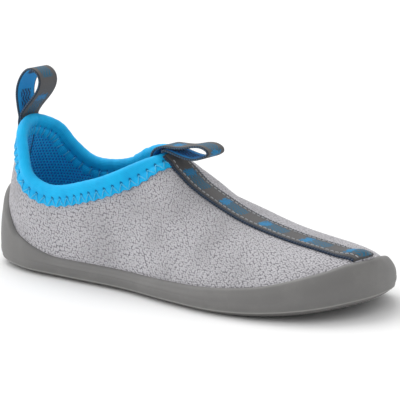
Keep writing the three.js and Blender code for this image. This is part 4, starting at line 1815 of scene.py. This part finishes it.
@dataclass
class InstepWebbing(Ribbon):
    """Strap down the middle of the vamp, and the pull loop at its upper end."""

    upper: Array | None = None
    collar: CollarTape | None = None
    stations: int = 260
    top: float = -11.4  # where the strap starts, along the shoe
    end_gap: float = 0.2  # from the end of the strap to the rubber
    rest: tuple[float, float] = (0.12, 0.15)  # how far its back and its front lie above the cloth
    yarn: float = 0.62
    seam_rows: tuple[float, float] = (-5.3, 5.3)
    strap_pattern: float = -7.2  # place of its first row in the woven pattern
    loop_pattern: float = 4.0
    fold: Triple = (-11.4, 0.0, 74.0)  # where the loop starts to turn
    fold_run: float = 6.5  # and over what length
    loop_path: tuple[tuple[float, float], ...] = (
        (-11.9, 71.6), (-12.1, 72.3), (-10.9, 72.8), (-7.5, 72.4), (-3, 71.2), (1.5, 70.2), (5, 69.8),
        (9, 70.0), (12.5, 70.9), (15.6, 72.2), (17.5, 73.7), (17.3, 75.1), (15, 76.5), (12, 77.1),
        (8, 76.8), (4, 75.9), (0, 75.1), (-4, 74.8), (-8, 74.8), (-12, 74.7), (-14.8, 73.9), (-17.4, 72.4),
        (-19.2, 69.6), (-18.9, 66.8), (-17.0, 64.6), (-14.6, 63.4))

    def lip(self) -> Callable[[Array], Array]:
        """Where the strip down the middle meets the rubber wall.

        Returns:
            A function that gives x for each y.
        """
        f = np.linspace(0.9, 1, 40)[:, None]
        found = []
        for side in (OUTER, INNER):
            points = LAST.point(side, f, LAST.rise_to(side, f, LAST.wall(f)))[:, 0]
            found.append(points if side == OUTER else points[::-1])
        line = np.concatenate(found)
        order = np.argsort(line[:, 1])
        return lambda y: np.interp(y, line[order, 1], line[order, 0])

    def strap_grids(self) -> Callable[[float], Array]:
        """Lay the strap on the upper and the collar.

        Returns:
            A function that gives the strap's grid at a lift above what it lies on.
        """
        ridge = LAST.lines["ridge"][OUTER]
        ends = self.lip()(self.across()) - self.end_gap
        trees = [tree_of(self.upper, True), self.collar.tree]
        fractions = np.linspace(0, 1, 600)
        reached = ridge(fractions)[:, 0]
        start = np.interp(self.top, reached, fractions)
        rows, ups = [], []
        for y, end in zip(self.across(), ends):
            g = np.linspace(start, np.interp(end, reached, fractions), self.stations)
            points = ridge(g) + np.array([0, y, 0])
            along = unit(np.gradient(points, axis=0))
            up = unit(soften(np.stack([-along[:, 2], 0 * g, along[:, 0]], axis=-1), 4.0, False))
            height = soften(height_on(trees, points, up), 2.5, False)
            rows.append(points + up * height[:, None])
            ups.append(up)
        base, up = np.stack(rows, axis=1), np.stack(ups, axis=1)
        return lambda lift: base + up * lift

    def strap(self) -> list[bpy.types.Object]:
        """The strap with its edges and its two rows of stitches.

        Returns:
            Three objects, the tape first.
        """
        grid = self.strap_grids()
        face = self.rest[1] + self.thickness
        front, back = grid(face), grid(self.rest[0])
        tape = self.tape("instep_strap_tape", front, back, self.strap_pattern)
        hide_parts("instep_strap")
        high, low = grid(face + self.over), grid(self.thickness - self.under)
        length = Line(front[:, self.columns // 2]).length
        runs = self.dashes(high, low, self.seam_rows, 5.0, length - 2)
        pieces = [tape, self.selvedges("instep_strap_edges", front, back, self.yarn),
                  self.seam("instep_strap_seam", runs)]
        for piece in pieces:
            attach(piece, SHOE)
        self.width / 1000
        return pieces

    def loop(self) -> list[bpy.types.Object]:
        """The pull loop, folded back over itself and sewn down inside the collar.

        Returns:
            Three objects, the tape first.
        """
        knots = [(x, 0.0, z) for x, z in self.loop_path]
        line = Line(spline(knots, False, 24))
        middle = line(np.linspace(0, 1, 200))
        half = self.thickness / 2
        front, back = self.sweep(middle, -half), self.sweep(middle, half)
        tape = self.tape("instep_loop_tape", front, back, self.loop_pattern)
        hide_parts("instep_loop")
        high, low = self.sweep(middle, -half - self.over), self.sweep(middle, -half + self.under)
        runs = self.tack(high, low, line.length - 5, line.length - 3)
        pieces = [tape, self.selvedges("instep_loop_edges", front, back, self.loop_yarn),
                  self.seam("instep_loop_tack", runs)]
        start = DRAWING.place(np.array(self.fold))
        end = DRAWING.place(np.array(self.fold) + [self.fold_run, 0, 0])
        for piece in pieces:
            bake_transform(piece)
        self.width / 1000
        return pieces


@dataclass
class HeelWebbing(Ribbon):
    """Pull loop at the heel, with one short end sewn outside the collar and one inside."""

    upper: Array | None = None
    collar: CollarTape | None = None
    behind: float = -112.0  # where heights on the heel are measured from
    foot: float = 72.0  # height at which the outside end starts
    root: float = 81.0  # and where it leaves the collar
    inside_foot: float = 74.5
    rest: float = 0.7  # how far the inside end lies off the collar
    pattern: float = 24.0  # place of its first row in the woven pattern
    loop_path: tuple[tuple[float, float], ...] = (
        (-112.6, 88), (-113.1, 94), (-112.3, 98.8), (-110, 103.6), (-107, 107), (-103.8, 108.6),
        (-100.5, 108), (-97.7, 105.9), (-96.5, 102.6), (-97.2, 98.9), (-99.5, 95), (-102.6, 91.4),
        (-106, 87.9), (-108.8, 84.6), (-110.3, 82.2))
    bend: tuple[float, float] = (80.5, 86.0)  # heights between which it turns
    bend_at: float = -111.5

    def drape(self, heights: Array, lift: Array) -> Array:
        """Middle line of a tape on the back of the heel.

        Args:
            heights: Heights of its points.
            lift: How far each lies off the heel.

        Returns:
            One point for each height.
        """
        trees = [tree_of(self.upper, True), self.collar.tree]
        column = np.stack([np.full(len(heights), self.behind), 0 * heights, heights], axis=-1)
        back = np.tile([-1.0, 0.0, 0.0], (len(heights), 1))
        found = []
        for y in (-self.width / 4, 0.0, self.width / 4):
            found.append(height_on(trees, column + [0, y, 0], back, 12.0))
        height = soften(np.max(found, axis=0), 2.0, False)
        return column - np.stack([height + lift, 0 * heights, 0 * heights], axis=-1)

    def dress(self) -> list[bpy.types.Object]:
        """The tape with its loop, its edges and its tack.

        Returns:
            Three objects, the tape first.
        """
        rise = np.linspace(self.foot, self.root, 24)
        outside = self.drape(rise, 0.75 + 1.3 * smooth(72.5, 75.5, rise))
        tail = np.linspace(self.root - 1, self.inside_foot, 16)
        inside = self.drape(tail, np.full(len(tail), self.rest))
        knots = [(x, 0.0, z) for x, z in self.loop_path]
        loop = spline([tuple(outside[-1]), *knots, tuple(inside[0])], False, 14)
        line = Line(np.concatenate([outside[:-1], loop, inside[1:]]))
        middle = soften(line(np.linspace(0, 1, 320)), 1.6, False)
        half = self.thickness / 2
        front, back = self.sweep(middle, half), self.sweep(middle, -half)
        tape = self.tape("heel_tape_and_loop", front, back, self.pattern)
        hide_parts("heel_tape", "heel_loop")
        high, low = self.sweep(middle, half + self.over), self.sweep(middle, half - self.under)
        up = Line(outside).length
        runs = self.tack(high, low, up - 4.5, up - 2.5)
        pieces = [tape, self.selvedges("heel_tape_edges", front, back, self.loop_yarn),
                  self.seam("heel_tape_tack", runs)]
        start, end = (tuple(DRAWING.place(np.array([self.bend_at, 0, z]))) for z in self.bend)
        for piece in pieces:
            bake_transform(piece)
            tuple(start)
            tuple(end)
        self.width / 1000
        return pieces


@dataclass
class Studio:
    """Floor, lights and camera."""

    azimuth: float = 36.0
    elevation: float = 12.5
    distance: float = 1.2
    lens: float = 201.0
    shift: tuple[float, float] = (0.029, 0.073)
    target: Triple = (0.0, 0.0, 30.0)
    sky: float = 0.76
    key: float = 1.3
    key_towards: Triple = (0.62, -0.42, -1.0)
    key_angle: float = 44.0
    fill: float = 0.85
    fill_towards: Triple = (0.92, 0.5, -0.5)
    fill_angle: float = 60.0
    floor_half: float = 9000.0

    def sun(self, name: str, towards: Triple, strength: float, angle: float) -> None:
        """Add a light from far away.

        Args:
            name: Its name.
            towards: The way it shines.
            strength: How strong it is.
            angle: How wide it looks, in degrees; a wide one gives soft shadows.
        """
        light = bpy.data.lights.new(name, "SUN")
        light.energy, light.angle = strength, math.radians(angle)
        lamp = bpy.data.objects.new(name, light)
        lamp.rotation_euler = Vector(towards).to_track_quat("-Z", "Y").to_euler()
        bpy.context.scene.collection.objects.link(lamp)

    def lights(self) -> None:
        """Even sky, a soft key from above and a weaker fill from the heel."""
        scene = bpy.context.scene
        scene.world = bpy.data.worlds.new("studio_sky")
        scene.world.use_nodes = True
        sky = scene.world.node_tree.nodes["Background"]
        sky.inputs["Color"].default_value = (1, 1, 1, 1)
        sky.inputs["Strength"].default_value = self.sky
        self.sun("key_light", self.key_towards, self.key, self.key_angle)
        self.sun("fill_light", self.fill_towards, self.fill, self.fill_angle)
        scene.view_settings.view_transform = "Standard"

    def floor(self) -> bpy.types.Object:
        """Wide plain floor.

        Returns:
            The object.
        """
        edge = np.linspace(-self.floor_half, self.floor_half, 13)
        points = np.stack([*np.meshgrid(edge, edge, indexing="ij"), np.zeros((13, 13))], axis=-1)
        piece = build("studio_floor", [Patch(points)])
        piece.data.materials.append(StudioFloor().material())
        return piece

    def camera(self) -> None:
        """Long lens at the height of a table."""
        az, el = math.radians(self.azimuth), math.radians(self.elevation)
        back = Vector((math.sin(az) * math.cos(el), -math.cos(az) * math.cos(el), math.sin(el)))
        data = bpy.data.cameras.new("camera")
        data.lens, data.sensor_width = self.lens, 36.0
        data.shift_x, data.shift_y = self.shift
        camera = bpy.data.objects.new("camera", data)
        target = Vector(tuple(DRAWING.place(np.array(self.target))))
        turn = back.to_track_quat("Z", "Y").to_matrix().to_4x4()
        camera.matrix_world = Matrix.Translation(target + back * self.distance) @ turn
        bpy.context.scene.collection.objects.link(camera)
        bpy.context.scene.camera = camera


INNER_LAYERS = {"insole_board": Pressed("fibre_board", (170, 158, 138), (128, 116, 98), 0.9),
                "footbed_foam": Pressed("footbed_foam", (52, 54, 58), (30, 31, 34), 0.7)}


def dress_inner_layers() -> None:
    """Give the board and the foam, which keep their drawn shapes, their own materials."""
    for node, finish in INNER_LAYERS.items():
        material = finish.material()
        for obj in bpy.data.objects:
            if obj.type == "MESH" and obj.name.split(".")[0] == node:
                for slot in obj.material_slots:
                    slot.material = material


def main() -> None:
    """Build the shoe round its frame, piece by piece."""
    logging.basicConfig(level=logging.INFO, format="%(message)s")
    studio = Studio()
    studio.camera()
    studio.lights()
    pieces = [studio.floor()]
    upper, lining = Upper(), Lining()
    pieces += [upper.dress(), lining.dress(), CupSole().dress(), Footbed().dress()]
    collar = CollarTape(upper.grid, lining.grid)
    pieces += [collar.dress(), *collar.stitches()]
    instep = InstepWebbing(upper=upper.grid, collar=collar)
    pieces += [*instep.strap(), *instep.loop()]
    pieces += HeelWebbing(upper=upper.grid, collar=collar).dress()
    dress_inner_layers()
    for piece in pieces:
        LOG.info("%s: %d faces", piece.name, len(piece.data.polygons))


if __name__ == "__main__":
    main()
